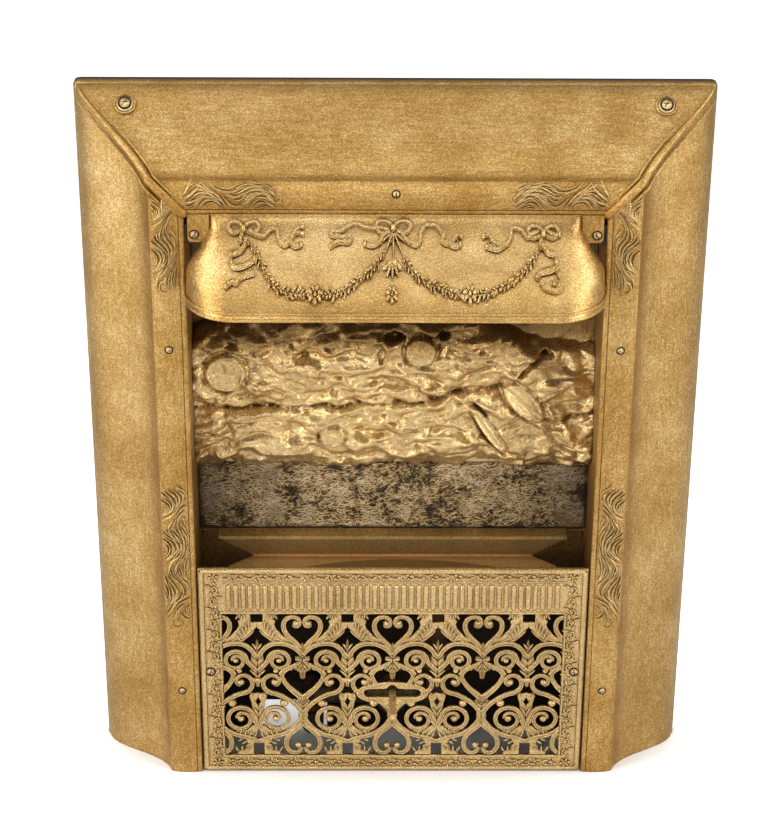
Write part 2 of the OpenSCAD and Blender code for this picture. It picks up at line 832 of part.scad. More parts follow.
module fireback_bolts() {
    color(dark_metal) for (side = [-1, 1]) {
        rod_y(side * bolt_x, logs_y - logs_t - bite, -0.2, bolt_z, screw_r + 0.5);
        translate([side * bolt_x, logs_y - logs_t, bolt_z]) rotate([90, 0, 0])
            cylinder(h = 4, r = 5, $fn = 6);
    }
}

fibre_cols = 40;
fibre_rows = 8;
fibre_half = cheek_x - soft_gap;
module fibre_strip() {
    $face = [for (j = [0:fibre_rows]) for (i = [0:fibre_cols])
        let (edge = smooth(min(j, fibre_rows - j) / 2), x = i * 9, z = j * 10)
        edge * (0.9 + 0.7 * sin(x * 7 + z * 11) * sin(z * 9 + x * 2))];
    color(fibre_grey)
        relief_slab(2 * fibre_half, fibre_z, fibre_z + fibre_h,
                    fibre_front_y + 1.8, -back_t - soft_gap, fibre_cols, fibre_rows);
}

tray_half = cheek_x;
tray_screw_x = [-140, -50, 50, 140];
tray_screw_y = -13;
module fibre_tray() {
    color(dark_metal) difference() {
        union() {
            box(-tray_half, tray_half, fibre_front_y + 0.3, -back_t,
                tray_z - tray_t, tray_z);
            both_sides() box(-tray_half, -tray_half + tray_t, fibre_front_y + 0.3,
                             -back_t, tray_z - tray_tab_h, tray_z);
        }
        both_sides() rod_x(-tray_half - 1, -tray_half + 5, tray_rivet_y,
                           tray_z - tray_tab_h / 2, rivet_r + hole_gap);
        for (x = tray_screw_x)
            translate([x, tray_screw_y, tray_z - 10])
                cylinder(h = 20, r = screw_r + hole_gap);
    }
}

module tray_rivets() {
    color(dark_metal) for (side = [-1, 1])
        translate([side * (tray_half - tray_t), tray_rivet_y, tray_z - tray_tab_h / 2])
            rotate([0, -side * 90, 0]) {
                intersection() {
                    translate([0, 0, -2]) sphere(r = 4);
                    cylinder(h = 3, r = 3.4);
                }
                translate([0, 0, -tray_t - shell_t])
                    cylinder(h = tray_t + shell_t + bite, r = rivet_r);
            }
}

// ---------- burner ----------

chest_cavity_y = chest_back_y - 10;
module chest_prism(inset, y0, y1, z_top, drop) {
    translate([0, y1, 0]) rotate([90, 0, 0]) linear_extrude(height = y1 - y0)
        polygon([
            [-ports_w / 2 + inset, z_top], [ports_w / 2 - inset, z_top],
            [ports_w / 2 - inset - chest_slope, chest_low_z - drop],
            [-ports_w / 2 + inset + chest_slope, chest_low_z - drop]
        ]);
}

module belly_plan(inset) {
    corner = 9;
    offset(delta = -inset) polygon([
        for (side = [-1, 1]) each side < 0 ? [
            [-belly_w / 2, chest_back_y], [-belly_w / 2, chest_front_y],
            [-belly_w / 2 - belly_flare, -55], [-belly_w / 2 - belly_flare, -belly_d + corner],
            [-belly_w / 2 - belly_flare + corner, -belly_d]
        ] : [
            [belly_w / 2 + belly_flare - corner, -belly_d],
            [belly_w / 2 + belly_flare, -belly_d + corner], [belly_w / 2 + belly_flare, -55],
            [belly_w / 2, chest_front_y], [belly_w / 2, chest_back_y]
        ]
    ]);
}

socket_t = 3;
lip_r = 310;
lip_y = -44;
module burner_body() {
    wall = burner_t;
    color(rusty) difference() {
        union() {
            chest_prism(0, chest_front_y, chest_back_y, chest_z, bite);
            translate([0, 0, belly_low_z])
                linear_extrude(height = chest_low_z - belly_low_z) belly_plan(0);
            intersection() {
                translate([0, 0, chest_low_z - bite])
                    linear_extrude(height = 1.6 + bite) belly_plan(0);
                translate([8, lip_y - lip_r, belly_low_z]) cylinder(h = 60, r = lip_r, $fn = 96);
            }
            translate([mixer_x, cock_y, belly_low_z - 8])
                cylinder(h = 10, r = mixer_r + socket_t);
        }
        chest_prism(wall, chest_front_y + wall, chest_cavity_y, chest_z + 1, wall + 1);
        translate([0, 0, belly_low_z + wall])
            linear_extrude(height = chest_low_z - belly_low_z - 2 * wall) belly_plan(wall);
        translate([mixer_x, cock_y, belly_low_z - 9])
            cylinder(h = 14, r = mixer_r + hole_gap);
        for (x = tray_screw_x)
            translate([x, tray_screw_y, chest_z - 12]) cylinder(h = 15, r = screw_r + hole_gap);
    }
}

port_count = floor((ports_w - 24) / port_pitch);
module burner_top() {
    y1 = fibre_front_y;
    lip = burner_t + hole_gap;
    color(gold) difference() {
        union() {
            box(-ports_w / 2, ports_w / 2, chest_front_y - 1.5, y1, chest_z, port_z);
            box(-ports_w / 2 + lip + 6, ports_w / 2 - lip - 6, chest_front_y + lip,
                chest_cavity_y - hole_gap, chest_z - 3, chest_z + 1);
        }
        for (i = [0:port_count])
            translate([(i - port_count / 2) * port_pitch, y1 - 6, chest_z - 4])
                cylinder(h = 9, r = port_r);
    }
}

module burner_screws() {
    color(dark_metal) for (x = tray_screw_x)
        translate([x, tray_screw_y, tray_z - tray_t - 10])
            cylinder(h = tray_t + 9.9, r = screw_r);
}

module mixer_tube() {
    top = belly_low_z + 1;
    color(rusty) translate([mixer_x, cock_y, mixer_base_z]) difference() {
        union() {
            cylinder(h = top - mixer_base_z, r = mixer_r);
            cylinder(h = head_h, r = head_r);
            cylinder(h = 3, r = head_r + 2.8);
            translate([0, 0, head_h - 3]) cylinder(h = 3, r = head_r + 2.8);
        }
        translate([0, 0, 3]) cylinder(h = head_h - 6, r = head_r - head_t);
        translate([0, 0, head_h - 4]) cylinder(h = 200, r = mixer_r - 2);
        translate([0, 0, -1]) cylinder(h = 6, r = 5 + hole_gap);
        for (a = [0:90:270]) rotate([0, 0, a])
            translate([0, -4, 6]) cube([head_r + 1, 8, window_h]);
    }
}

module air_shutter() {
    color(brass) translate([mixer_x, cock_y, mixer_base_z + 3 + turn_gap]) {
        difference() {
            union() {
                cylinder(h = head_h - 6 - 2 * turn_gap, r = head_r + turn_gap + shutter_t);
                rotate([0, 0, -40]) translate([head_r + 1, -3, 6]) cube([7, 6, 2]);
            }
            translate([0, 0, -1]) cylinder(h = 40, r = head_r + turn_gap);
            for (a = [0:90:270]) rotate([0, 0, a + 22])
                translate([8, -4, 3 - turn_gap]) cube([head_r, 8, window_h]);
        }
    }
}

module gas_spud() {
    color(brass) translate([mixer_x, cock_y, mixer_base_z]) difference() {
        union() {
            translate([0, 0, -8]) cylinder(h = 8, r = 8, $fn = 6);
            translate([0, 0, -16]) cylinder(h = 9, r = 6);
            cylinder(h = 7, r = 5);
            translate([0, 0, 7 - bite]) cylinder(h = 4, r1 = 5, r2 = 2.5);
        }
        translate([0, 0, -17]) cylinder(h = 24, r = 3);
        translate([0, 0, 2]) cylinder(h = 20, r = 0.9);
    }
}

// ---------- gas train ----------

module outlet_elbow() {
    color(dark_metal) difference() {
        union() {
            rod_x(mixer_x - 17, mixer_x, cock_y, pipe_z, 11);
            translate([mixer_x, cock_y, pipe_z]) sphere(r = 11);
            translate([mixer_x, cock_y, pipe_z]) cylinder(h = mixer_base_z - 8 - pipe_z, r = 11);
        }
        rod_x(mixer_x - 18, mixer_x - 6, cock_y, pipe_z, pipe_r + hole_gap);
        rod_x(mixer_x - 8, mixer_x, cock_y, pipe_z, pipe_bore_r - 0.4);
        translate([mixer_x, cock_y, pipe_z])
            cylinder(h = mixer_base_z - 15 - pipe_z, r = pipe_bore_r - 0.4);
        translate([mixer_x, cock_y, mixer_base_z - 16.5]) cylinder(h = 20, r = 6 + hole_gap);
    }
}

module outlet_nipple() {
    color(dark_metal) difference() {
        rod_x(barrel_r + 2, mixer_x - 6.5, cock_y, pipe_z, pipe_r);
        rod_x(barrel_r, mixer_x, cock_y, pipe_z, pipe_bore_r);
    }
}

module plug_cone(gap) {
    translate([0, cock_y, barrel_top_z - barrel_h])
        cylinder(h = barrel_h, r1 = plug_r - plug_taper + gap, r2 = plug_r + gap);
}

module cock_body() {
    color("#4f5a45") difference() {
        union() {
            translate([0, cock_y, barrel_top_z - barrel_h])
                cylinder(h = barrel_h, r = barrel_r);
            rod_x(-barrel_r - 13, barrel_r + 13, cock_y, pipe_z, pipe_r + 3);
        }
        translate([0, cock_y, barrel_top_z - barrel_h - 1])
            cylinder(h = 2, r = plug_r - plug_taper + turn_gap);
        plug_cone(turn_gap);
        translate([0, cock_y, barrel_top_z - 0.1]) cylinder(h = 2, r = plug_r + turn_gap);
        rod_x(-barrel_r - 14, barrel_r + 14, cock_y, pipe_z, 5);
        for (side = [0, 180])
            translate([0, cock_y, pipe_z]) rotate([0, 0, side])
                rod_x(barrel_r + 1.5, barrel_r + 14, 0, 0, pipe_r + hole_gap);
    }
}

module cock_plug() {
    color(brass) difference() {
        union() {
            plug_cone(0);
            translate([0, cock_y, barrel_top_z - barrel_h - 14])
                cylinder(h = 14 + bite, r = stub_r);
            translate([-square_w / 2, cock_y - square_w / 2, barrel_top_z - bite])
                cube([square_w, square_w, lever_t + 1 + bite - 0.4]);
        }
        translate([0, cock_y, pipe_z]) rotate([0, 0, -45])
            rod_x(-plug_r - 1, plug_r + 1, 0, 0, 4.6);
        translate([0, cock_y, barrel_top_z - 6]) cylinder(h = 20, r = 2 + hole_gap);
    }
}

module plug_washer() {
    color(brass) translate([0, cock_y, barrel_top_z - barrel_h - 2.2]) difference() {
        cylinder(h = 2.2 - turn_gap, r = 10);
        translate([0, 0, -1]) cylinder(h = 5, r = stub_r + hole_gap);
    }
}

module plug_nut() {
    color(brass) translate([0, cock_y, barrel_top_z - barrel_h - 8.2]) difference() {
        cylinder(h = 6, r = 8.5, $fn = 6);
        translate([0, 0, -1]) cylinder(h = 8, r = stub_r + hole_gap);
    }
}

module lever() {
    hub_r = 9;
    color(gold) difference() {
        union() {
            translate([0, cock_y, lever_z - lever_t / 2]) cylinder(h = lever_t, r = hub_r);
            box(-lever_w / 2, lever_w / 2, cock_y - lever_len + lever_w / 2, cock_y,
                lever_z - lever_t / 2, lever_z + lever_t / 2);
            translate([0, cock_y - lever_len + lever_w / 2, lever_z - lever_t / 2])
                cylinder(h = lever_t, r = lever_w / 2);
        }
        translate([-square_w / 2 - hole_gap, cock_y - square_w / 2 - hole_gap,
                   lever_z - lever_t])
            cube([square_w + 2 * hole_gap, square_w + 2 * hole_gap, 2 * lever_t]);
    }
}

module lever_screw() {
    color(brass) translate([0, cock_y, lever_z + lever_t / 2]) difference() {
        union() {
            intersection() {
                translate([0, 0, -4.5]) sphere(r = 8);
                cylinder(h = 3, r = 6.2);
            }
            translate([0, 0, -9]) cylinder(h = 9 + bite, r = 2);
        }
        translate([-8, -0.6, 2]) cube([16, 1.2, 4]);
    }
}

// Pipe from the cock's left side, back towards the wall and down to the inlet elbow
module bend(r) {
    rotate_extrude(angle = 90) translate([bend_r, 0]) circle(r = r);
}

module pipe_piece(r) {
    turn_y = cock_y + bend_r;
    rod_x(drop_x + bend_r, -barrel_r - 2, cock_y, pipe_z, r);
    translate([drop_x + bend_r, turn_y, pipe_z]) rotate([0, 0, 180]) bend(r);
    rod_y(drop_x, turn_y, drop_y - bend_r, pipe_z, r);
    translate([drop_x, drop_y - bend_r, pipe_z - bend_r]) rotate([90, 0, 90]) bend(r);
    translate([drop_x, drop_y, inlet_z + 8])
        cylinder(h = pipe_z - bend_r - inlet_z - 8, r = r);
}

module supply_pipe() {
    color(dark_metal) difference() {
        pipe_piece(pipe_r);
        pipe_piece(pipe_bore_r);
    }
}

module supply_elbow() {
    color(dark_metal) difference() {
        union() {
            translate([drop_x, drop_y, inlet_z]) sphere(r = elbow_r);
            translate([drop_x, drop_y, inlet_z]) cylinder(h = 19, r = elbow_r);
            rod_y(drop_x, drop_y, -1, inlet_z, elbow_r);
        }
        translate([drop_x, drop_y, inlet_z + 7.7]) cylinder(h = 20, r = pipe_r + hole_gap);
        translate([drop_x, drop_y, inlet_z]) cylinder(h = 9, r = pipe_bore_r - 0.5);
        rod_y(drop_x, drop_y, 1, inlet_z, pipe_bore_r - 0.5);
        rod_y(drop_x, -13, 1, inlet_z, inlet_bore_r);
    }
}

module pipe_clip() {
    r = pipe_r + hole_gap;
    color(dark_metal) difference() {
        union() {
            translate([drop_x, drop_y, clip_z - 6]) cylinder(h = 12, r = r + 2);
            box(drop_x - r - 2, drop_x + r + 2, drop_y, -back_t, clip_z - 6, clip_z + 6);
            box(drop_x - clip_half - 5, drop_x + clip_half + 5, -back_t - 2, -back_t,
                clip_z - 6, clip_z + 6);
        }
        translate([drop_x, drop_y, clip_z - 7]) cylinder(h = 14, r = r);
        box(drop_x - r, drop_x + r, drop_y, 1, clip_z - 7, clip_z + 7);
        for (side = [-1, 1])
            rod_y(drop_x + side * clip_half, -back_t - 3, 1, clip_z, screw_r + hole_gap);
    }
}

module clip_screws() {
    color(dark_metal) for (side = [-1, 1])
        slotted_screw(drop_x + side * clip_half, -back_t - 2, clip_z, 3.4, 1.8,
                      back_t + 1.8, 0);
}

// ---------- grille ----------

half_pitch = scroll_pitch / 2;

// A bar of the scroll work: a centre line drawn with a width that can taper
module stroke(path, w0 = bar_w, w1 = bar_w) {
    n = len(path) - 1;
    left = [for (i = [0:n]) let (t = along(path, i))
        path[i] + blend(w0, w1, i / n) / 2 * [-t[1], t[0]]];
    right = [for (i = [0:n]) let (t = along(path, i))
        path[i] - blend(w0, w1, i / n) / 2 * [-t[1], t[0]]];
    polygon(concat(left, reverse(right)));
}

function spiral(c, r0, r1, a0, a1, ease, n) = [for (i = [0:n])
    let (t = i / n, a = blend(a0, a1, t), r = blend(r0, r1, pow(t, ease)))
    c + r * [cos(a), sin(a)]];

module curl(c, r) {
    translate(c) circle(r = r, $fn = 10);
}

// Half of one repeat, from a heart's axis at 0 to a palmette's axis at half_pitch
module half_repeat() {
    p = half_pitch + 0.05;
    // upper heart
    stroke(curve([[0.3, 134], [8, 147], [20, 152], [19.8, 165]], 5));
    stroke(curve([[19.8, 164], [20, 177.5], [2.6, 178.5], [2.3, 168]], 6), bar_w, 4);
    stroke(curve([[2.3, 168.5], [2.4, 161.5], [8.6, 161.4], [9, 165.6]], 4), 4, 3);
    curl([6.6, 166.8], 3.4);
    // arm from the heart to the palmette
    stroke(curve([[0, 128], [8, 139], [16, 142.6], [27, 142.3]], 5));
    stroke(curve([[26.5, 142.3], [36, 142], [42, 136], [p - 0.5, 125]], 5));
    // leaf that frames the square and arrow shaped gaps
    polygon([[24, 180], [41.6, 180], [41.6, 167.6], [p, 167.6], [p, 161.6], [44, 157.5],
             [38.5, 149.5], [34, 144], [10, 138], [10, 145], [21, 151.5], [27.5, 159],
             [29.5, 165], [28, 169], [31, 172]]);
    // large upper scroll
    stroke(curve([[p - 0.5, 108], [44, 112], [40.5, 116], [36.8, 120.5]], 3));
    stroke(spiral([25, 120.5], 11.8, 3.2, -5, 540, 1.9, 19), bar_w, 3);
    curl([25, 120.5], 3);
    curl([28.5, 107.5], 3.2);
    // middle scroll, whose tail runs down to the knot
    stroke(curve([[0, 50], [3, 64], [17, 74], [29.5, 79.2]], 6));
    stroke(spiral([31.2, 93.6], 14.5, 4, -97, 250, 0.9, 14), bar_w, 3.2);
    curl([30, 93], 4);
    curl([p - 1.5, 96], 3.2);
    // leaves between the pendant and the middle scroll
    stroke(curve([[3, 118], [12, 111], [20, 112], [23, 103]], 4), 4, 6);
    stroke(curve([[22.5, 104], [20, 88], [10, 84], [0, 73]], 5), 4, 7);
    // pendant and knots on the heart's axis
    polygon([[-0.05, 125], [7.5, 124.5], [8, 121], [4, 118], [6.8, 107.5], [3.6, 106],
             [2.4, 98], [-0.05, 97]]);
    curl([0, 134], 4);
    curl([0, 73], 6.5);
    polygon([[-0.05, 76], [5, 71], [9, 68.5], [9.5, 64], [7, 61], [4, 58], [5.6, 50],
             [3, 40], [-0.05, 36]]);
    // upper palmette
    polygon([[p, 146.5], [46.8, 143], [45.5, 134], [41.5, 130], [42.5, 124], [38.5, 118],
             [43.5, 112], [40.5, 106], [45.6, 101], [46, 88], [p, 86.5]]);
    // lower palmette with its drop shaped gap
    difference() {
        polygon([[p, 79.5], [44, 78], [40, 80], [38.4, 75], [40.5, 68], [42, 58], [44.5, 50],
                 [46, 36], [p, 34]]);
        polygon([[p + 1, 72.5], [p - 0.5, 72.5], [45, 67.5], [45.6, 64], [p - 0.4, 59.8],
                 [p + 1, 59.8]]);
    }
    // large lower scroll
    stroke(curve([[p - 0.3, 35], [46, 42], [44.5, 47], [42, 53]], 3));
    stroke(spiral([29.2, 46.7], 14.8, 4, 24, 530, 2, 19), bar_w, 3.2);
    curl([29, 46.7], 4);
    curl([20.2, 66.6], 5.2);
    // bar that runs under the lower scroll, and the web between them
    stroke(curve([[0.2, 51], [5.5, 38], [15, 28], [29, 25]], 5));
    stroke(curve([[28.5, 25], [37, 24], [43, 20.5], [p, 17.8]], 4));
    polygon([[23.5, 31], [24, 26.5], [40, 22], [p, 18.5], [p - 4.8, 25.3], [p, 31.8],
             [p, 37], [42, 38], [36, 32.5]]);
    // lower heart
    stroke(curve([[0.3, 41], [8, 32], [18.8, 28], [18.6, 15]], 5));
    stroke(curve([[18.6, 16], [18.6, 0], [2.6, 0], [2.2, 10.5]], 6), bar_w, 4);
    curl([5.6, 12.6], 3.6);
    // leaf beside the lower square gap
    polygon([[33, 25], [42, 21.5], [p, 20.6], [p, 14.8], [42.6, 14.8], [42.6, -1],
             [24, -1], [27.5, 5.5], [32.5, 6], [34, 10], [36, 14], [33.5, 19]]);
}

module scroll_field() {
    repeats = ceil(field_w / 2 / scroll_pitch + 0.5);
    intersection() {
        translate([-field_w / 2 - 1, -1]) square([field_w + 2, field_h + 2]);
        for (k = [-repeats:repeats]) translate([k * scroll_pitch, 0]) {
            half_repeat();
            mirror([1, 0]) half_repeat();
        }
    }
}

module slot_shape(grow) {
    r = slot_h / 2 + grow;
    translate([0, slot_z]) {
        translate([-slot_len / 2 + slot_h / 2, -r]) square([slot_len - slot_h, 2 * r]);
        for (side = [-1, 1]) translate([side * (slot_len - slot_h) / 2, 0]) circle(r = r);
        translate([0, slot_h / 2]) circle(r = slot_h * 0.55 + grow, $fn = 24);
    }
}

// Lens shaped pad round the lever's slot
module slot_pad() {
    n = 24;
    translate([0, slot_z]) polygon([for (i = [0:n - 1]) let (a = 360 * i / n)
        [slot_len * 0.62 * cos(a), slot_h * 1.35 * sin(a)]]);
}

module grille_plan() {
    difference() {
        union() {
            difference() {
                translate([-grille_half, 0]) square([2 * grille_half, grille_h]);
                translate([-field_w / 2, field_z]) square([field_w, field_h]);
            }
            translate([0, field_z]) scroll_field();
            slot_pad();
            translate([-11, slot_z - slot_h * 1.35 - 8]) square([22, 10]);
        }
        slot_shape(0);
    }
}

module frame_bar(x0, x1, z0, z1, wide) {
    difference() {
        translate([x0, z0]) square([x1 - x0, z1 - z0]);
        translate([x0 + wide, z0 + wide]) square([x1 - x0 - 2 * wide, z1 - z0 - 2 * wide]);
    }
}

band_z0 = field_z + field_h + 4;
band_z1 = grille_h - 19;
reed_count = floor((field_w - 6) / reed_pitch);
module reeds() {
    w = reed_count * reed_pitch;
    outline = concat(
        [[-w / 2, 0.5]],
        [for (i = [0:reed_count - 1]) for (a = [180:-45:0])
            [-w / 2 + (i + 0.5) * reed_pitch + reed_pitch * 0.46 * cos(a),
             -relief_t * sin(a)]],
        [[w / 2, 0.5]]);
    translate([0, grille_y + relief_t, band_z0])
        linear_extrude(height = band_z1 - band_z0) polygon(outline);
}

module grille() {
    face_y = grille_y + relief_t;
    color(gold) difference() {
        union() {
            translate([0, face_y + grille_t, 0]) rotate([90, 0, 0])
                linear_extrude(height = grille_t) offset(delta = 0.01) grille_plan();
            translate([0, face_y + 0.5, 0]) rotate([90, 0, 0])
                linear_extrude(height = relief_t + 0.5) {
                    frame_bar(-grille_half, grille_half, 0, grille_h, 6);
                    frame_bar(-field_w / 2 - 3, field_w / 2 + 3, field_z - 3,
                              field_z + field_h + 3, 2.4);
                }
            reeds();
        }
        for (side = [-1, 1])
            rod_y(side * grille_screw_x, grille_y - 1, grille_back_y + 1, grille_screw_z,
                  screw_r + hole_gap);
    }
}

module grille_brackets() {
    color(dark_metal) both_sides()
        front_angle(grille_back_y, grille_screw_x - 8, grille_angle_z, 24, grille_screw_x);
}

module grille_screws() {
    color(gold) for (side = [-1, 1])
        slotted_screw(side * grille_screw_x, grille_y + relief_t, grille_screw_z, 4.4, 2,
                      grille_t + angle_t + 3, 20 * side);
}

top_panel();
left_panel();
right_panel();
corner_brackets();
corner_washers();
corner_screws();
corner_nuts();
moulding_screws();
back_plate();
left_cheek();
right_cheek();
top_plate();
shell_rivets();
hood();
hood_brackets();
hood_screws();
log_fireback();
fireback_bolts();
fibre_strip();
fibre_tray();
tray_rivets();
burner_body();
burner_top();
burner_screws();
mixer_tube();
air_shutter();
gas_spud();
outlet_elbow();
outlet_nipple();
cock_body();
cock_plug();
plug_washer();
plug_nut();
lever();
lever_screw();
supply_pipe();
supply_elbow();
pipe_clip();
clip_screws();
grille();
grille_brackets();
grille_screws();
bracket_rivets();
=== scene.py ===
"""Gas fireplace insert, dressed for close viewing: bronze painted surround and hood with
pressed festoons, cast imitation logs, a mineral fibre pad, the burner and the openwork
grille, standing on a plain pale floor."""

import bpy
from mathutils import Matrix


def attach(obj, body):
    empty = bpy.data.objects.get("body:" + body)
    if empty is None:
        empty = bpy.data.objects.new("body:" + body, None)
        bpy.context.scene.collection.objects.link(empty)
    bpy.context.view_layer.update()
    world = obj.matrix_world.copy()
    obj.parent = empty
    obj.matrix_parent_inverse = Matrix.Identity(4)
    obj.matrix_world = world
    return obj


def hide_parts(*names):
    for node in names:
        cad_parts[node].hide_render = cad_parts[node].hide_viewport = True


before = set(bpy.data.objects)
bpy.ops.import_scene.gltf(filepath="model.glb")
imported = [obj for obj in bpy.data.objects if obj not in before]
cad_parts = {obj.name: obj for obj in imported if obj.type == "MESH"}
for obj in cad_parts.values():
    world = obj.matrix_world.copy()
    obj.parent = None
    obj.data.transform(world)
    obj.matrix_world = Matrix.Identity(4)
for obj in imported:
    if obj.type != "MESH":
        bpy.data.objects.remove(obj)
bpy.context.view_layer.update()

import math
import random

import bpy
from mathutils import Matrix, Vector, noise

bl_info = {
    "name": "Gas fireplace insert",
    "version": (1, 0, 0),
    "blender": (4, 5, 0),
    "location": "View3D > Sidebar > Hearth",
    "description": "Surround, hood, logs, fibre pad and grille of a gas fireplace insert",
    "category": "Add Mesh",
}

MM = 0.001


# ---------------------------------------------------------------- sizes and colours

def linear(code):
    """Linear colour from an sRGB hex code."""
    parts = [int(code[i:i + 2], 16) / 255 for i in (1, 3, 5)]
    return [c / 12.92 if c <= 0.04045 else ((c + 0.055) / 1.055) ** 2.4 for c in parts]


def length(label, words, default):
    """A length property in metres, given in millimetres."""
    return bpy.props.FloatProperty(name=label, description=words, default=default * MM,
                                   unit="LENGTH", subtype="DISTANCE")


def colour(label, words, code):
    """A colour property given as an sRGB hex code."""
    return bpy.props.FloatVectorProperty(name=label, description=words, subtype="COLOR",
                                         size=3, min=0, max=1, default=linear(code))


class InsertSizes(bpy.types.PropertyGroup):
    """Sizes of the insert, which follow the frame."""
    half_width: length("Half width", "Half the width of the surround", 317.5)
    height: length("Height", "Height of the surround", 762)
    frame_width: length("Frame width", "Width of the frame round the opening", 111)
    depth: length("Depth", "Depth from the wall to the crown of the moulding", 88)
    corner_radius: length("Corner radius", "Radius of the rounded top corners", 6)
    hood_height: length("Hood height", "Height of the hood", 81)
    hood_reach: length("Hood reach", "How far the hood's rim stands out", 77)
    logs_height: length("Log height", "Height of the two stacked logs", 150)
    logs_reach: length("Log reach", "How far the logs stand out from their plate", 34)
    scroll_pitch: length("Scroll pitch", "Width of one repeat of the grille", 96.3)
    reed_pitch: length("Reed pitch", "Spacing of the reeds", 7.7)
    strands: bpy.props.IntProperty(name="Strands", description="Loose fibres on the pad",
                                   default=3400, min=0)


class InsertColours(bpy.types.PropertyGroup):
    """Colours of the finishes."""
    # gold_dark is also the base of the painted shade in hollows
    gold_dark: colour("Gold, hollows", "Bronze paint where dirt has settled", "#6b4a1d")
    gold_mid: colour("Gold", "Bronze paint, the usual tone", "#c09650")
    # gold_light is also the tone of the painted highlight on faces turned to the room
    gold_light: colour("Gold, rubbed", "Bronze paint where it is rubbed bright", "#efd5a0")
    rust: colour("Rust", "Scorched and rusted iron", "#6e4623")
    soot: colour("Soot", "Soot and dark scale", "#1c150e")
    iron: colour("Iron", "Bare dark iron", "#3a2f25")
    fibre_light: colour("Fibre, light", "Ends of the mineral fibres", "#efc98a")
    fibre_dark: colour("Fibre, dark", "Scorched mineral fibre", "#3a2814")
    brass: colour("Brass", "Old brass", "#a5803c")
    verdigris: colour("Verdigris", "Green tarnish on the cock", "#4d6350")
    floor: colour("Floor", "Plain pale floor", "#f4f4f4")


# ---------------------------------------------------------------- small tools

def deselect():
    """Leaves edit mode and selects nothing."""
    if bpy.context.object and bpy.context.object.mode != "OBJECT":
        bpy.ops.object.mode_set(mode="OBJECT")
    bpy.ops.object.select_all(action="DESELECT")


def alone(piece):
    """Makes one piece the active and only selected one."""
    deselect()
    piece.select_set(True)
    bpy.context.view_layer.objects.active = piece


def modify(piece, kind, **settings):
    """Adds a modifier and applies it."""
    alone(piece)
    bpy.ops.object.modifier_add(type=kind)
    modifier = piece.modifiers[-1]
    for key, value in settings.items():
        setattr(modifier, key, value)
    bpy.ops.object.modifier_apply(modifier=modifier.name)


def named(name):
    """The piece that was just made, under its name."""
    piece = bpy.context.object
    piece.name = piece.data.name = name
    return piece


def joined(name, pieces):
    """Several pieces made one."""
    deselect()
    for piece in pieces:
        piece.select_set(True)
    bpy.context.view_layer.objects.active = pieces[0]
    if len(pieces) > 1:
        bpy.ops.object.join()
    return named(name)


def finished(piece, coat, smooth_angle, node):
    """Smooths a piece, gives it its finish and lets it stand for a node of the frame."""
    alone(piece)
    bpy.ops.object.shade_smooth_by_angle(angle=math.radians(smooth_angle))
    piece.data.materials.clear()
    piece.data.materials.append(finish(coat))
    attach(piece, "insert")
    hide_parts(node)
    return piece


def laid(piece, place):
    """Moves every vertex from its flat place in millimetres to the object, in metres."""
    for vertex in piece.data.vertices:
        vertex.co = Vector(place(*vertex.co)) * MM
    piece.data.update()
    return piece


def upright(face):
    """Places flat work upright, its height measured towards the room from a depth."""
    return lambda a, b, c: (a, face - c, b)


def grid(name, columns, rows, place):
    """A sheet of columns by rows, shaped by place(u, v) with u and v from 0 to 1."""
    deselect()
    bpy.ops.mesh.primitive_grid_add(x_subdivisions=columns, y_subdivisions=rows, size=1)
    return laid(named(name), lambda a, b, c: place(a + 0.5, b + 0.5))


def new_curve(**settings):
    """An empty curve with its settings."""
    deselect()
    bpy.ops.curve.primitive_nurbs_path_add()
    curve = bpy.context.object.data
    curve.splines.clear()
    for key, value in settings.items():
        setattr(curve, key, value)
    return curve


def run_through(curve, points):
    """Adds a line through points, which lie flat where they have no third number."""
    spline = curve.splines.new("POLY")
    spline.points.add(len(points) - 1)
    spline.points.foreach_set("co", [value for point in points
                                     for value in (*point, 0)[:3] + (1,)])
    return spline


def strokes(name, lines, place=None, sides=2, flat=1.0):
    """Round bars drawn along lines of (points, radii), as one mesh, then laid on a surface.
    A third number in a point lifts it; flat squeezes the bars' height."""
    curve = new_curve(dimensions="3D", bevel_depth=1, bevel_resolution=sides,
                      use_fill_caps=True)
    for points, radii in lines:
        spline = run_through(curve, points)
        spline.points.foreach_set("radius", [max(r, 0.02) for r in radii])
    bpy.ops.object.convert(target="MESH")
    piece = named(name)
    return laid(piece, lambda a, b, c: place(a, b, c * flat)) if place else piece


def plates(name, shapes, thick, soft, place=None):
    """Flat plates with rounded edges. Each shape is a list of outlines, the later ones
    being holes in the first."""
    made = []
    for outlines in shapes:
        curve = new_curve(dimensions="2D", fill_mode="BOTH", extrude=thick / 2 - soft,
                          bevel_depth=soft, bevel_resolution=1, offset=-soft)
        for outline in outlines:
            run_through(curve, outline).use_cyclic_u = True
        bpy.ops.object.convert(target="MESH")
        made.append(bpy.context.object)
    piece = joined(name, made)
    return laid(piece, place) if place else piece


def through(points, per=6):
    """A smooth line through the given points."""
    ends = [points[0]] + list(points) + [points[-1]]
    line = []
    for i in range(1, len(ends) - 2):
        p0, p1, p2, p3 = (Vector(p[:2]) for p in ends[i - 1:i + 3])
        for k in range(per):
            t = k / per
            line.append(tuple(0.5 * (2 * p1 + (p2 - p0) * t
                                     + (2 * p0 - 5 * p1 + 4 * p2 - p3) * t * t
                                     + (3 * p1 - p0 - 3 * p2 + p3) * t ** 3)))
    return line + [tuple(points[-1][:2])]


def bezier(c, count, first=0):
    """Points on a Bezier curve through four control points."""
    line = []
    for i in range(first, count + 1):
        t = i / count
        weights = ((1 - t) ** 3, 3 * t * (1 - t) ** 2, 3 * t * t * (1 - t), t ** 3)
        line.append(tuple(sum(w * p[k] for w, p in zip(weights, c)) for k in (0, 1)))
    return line


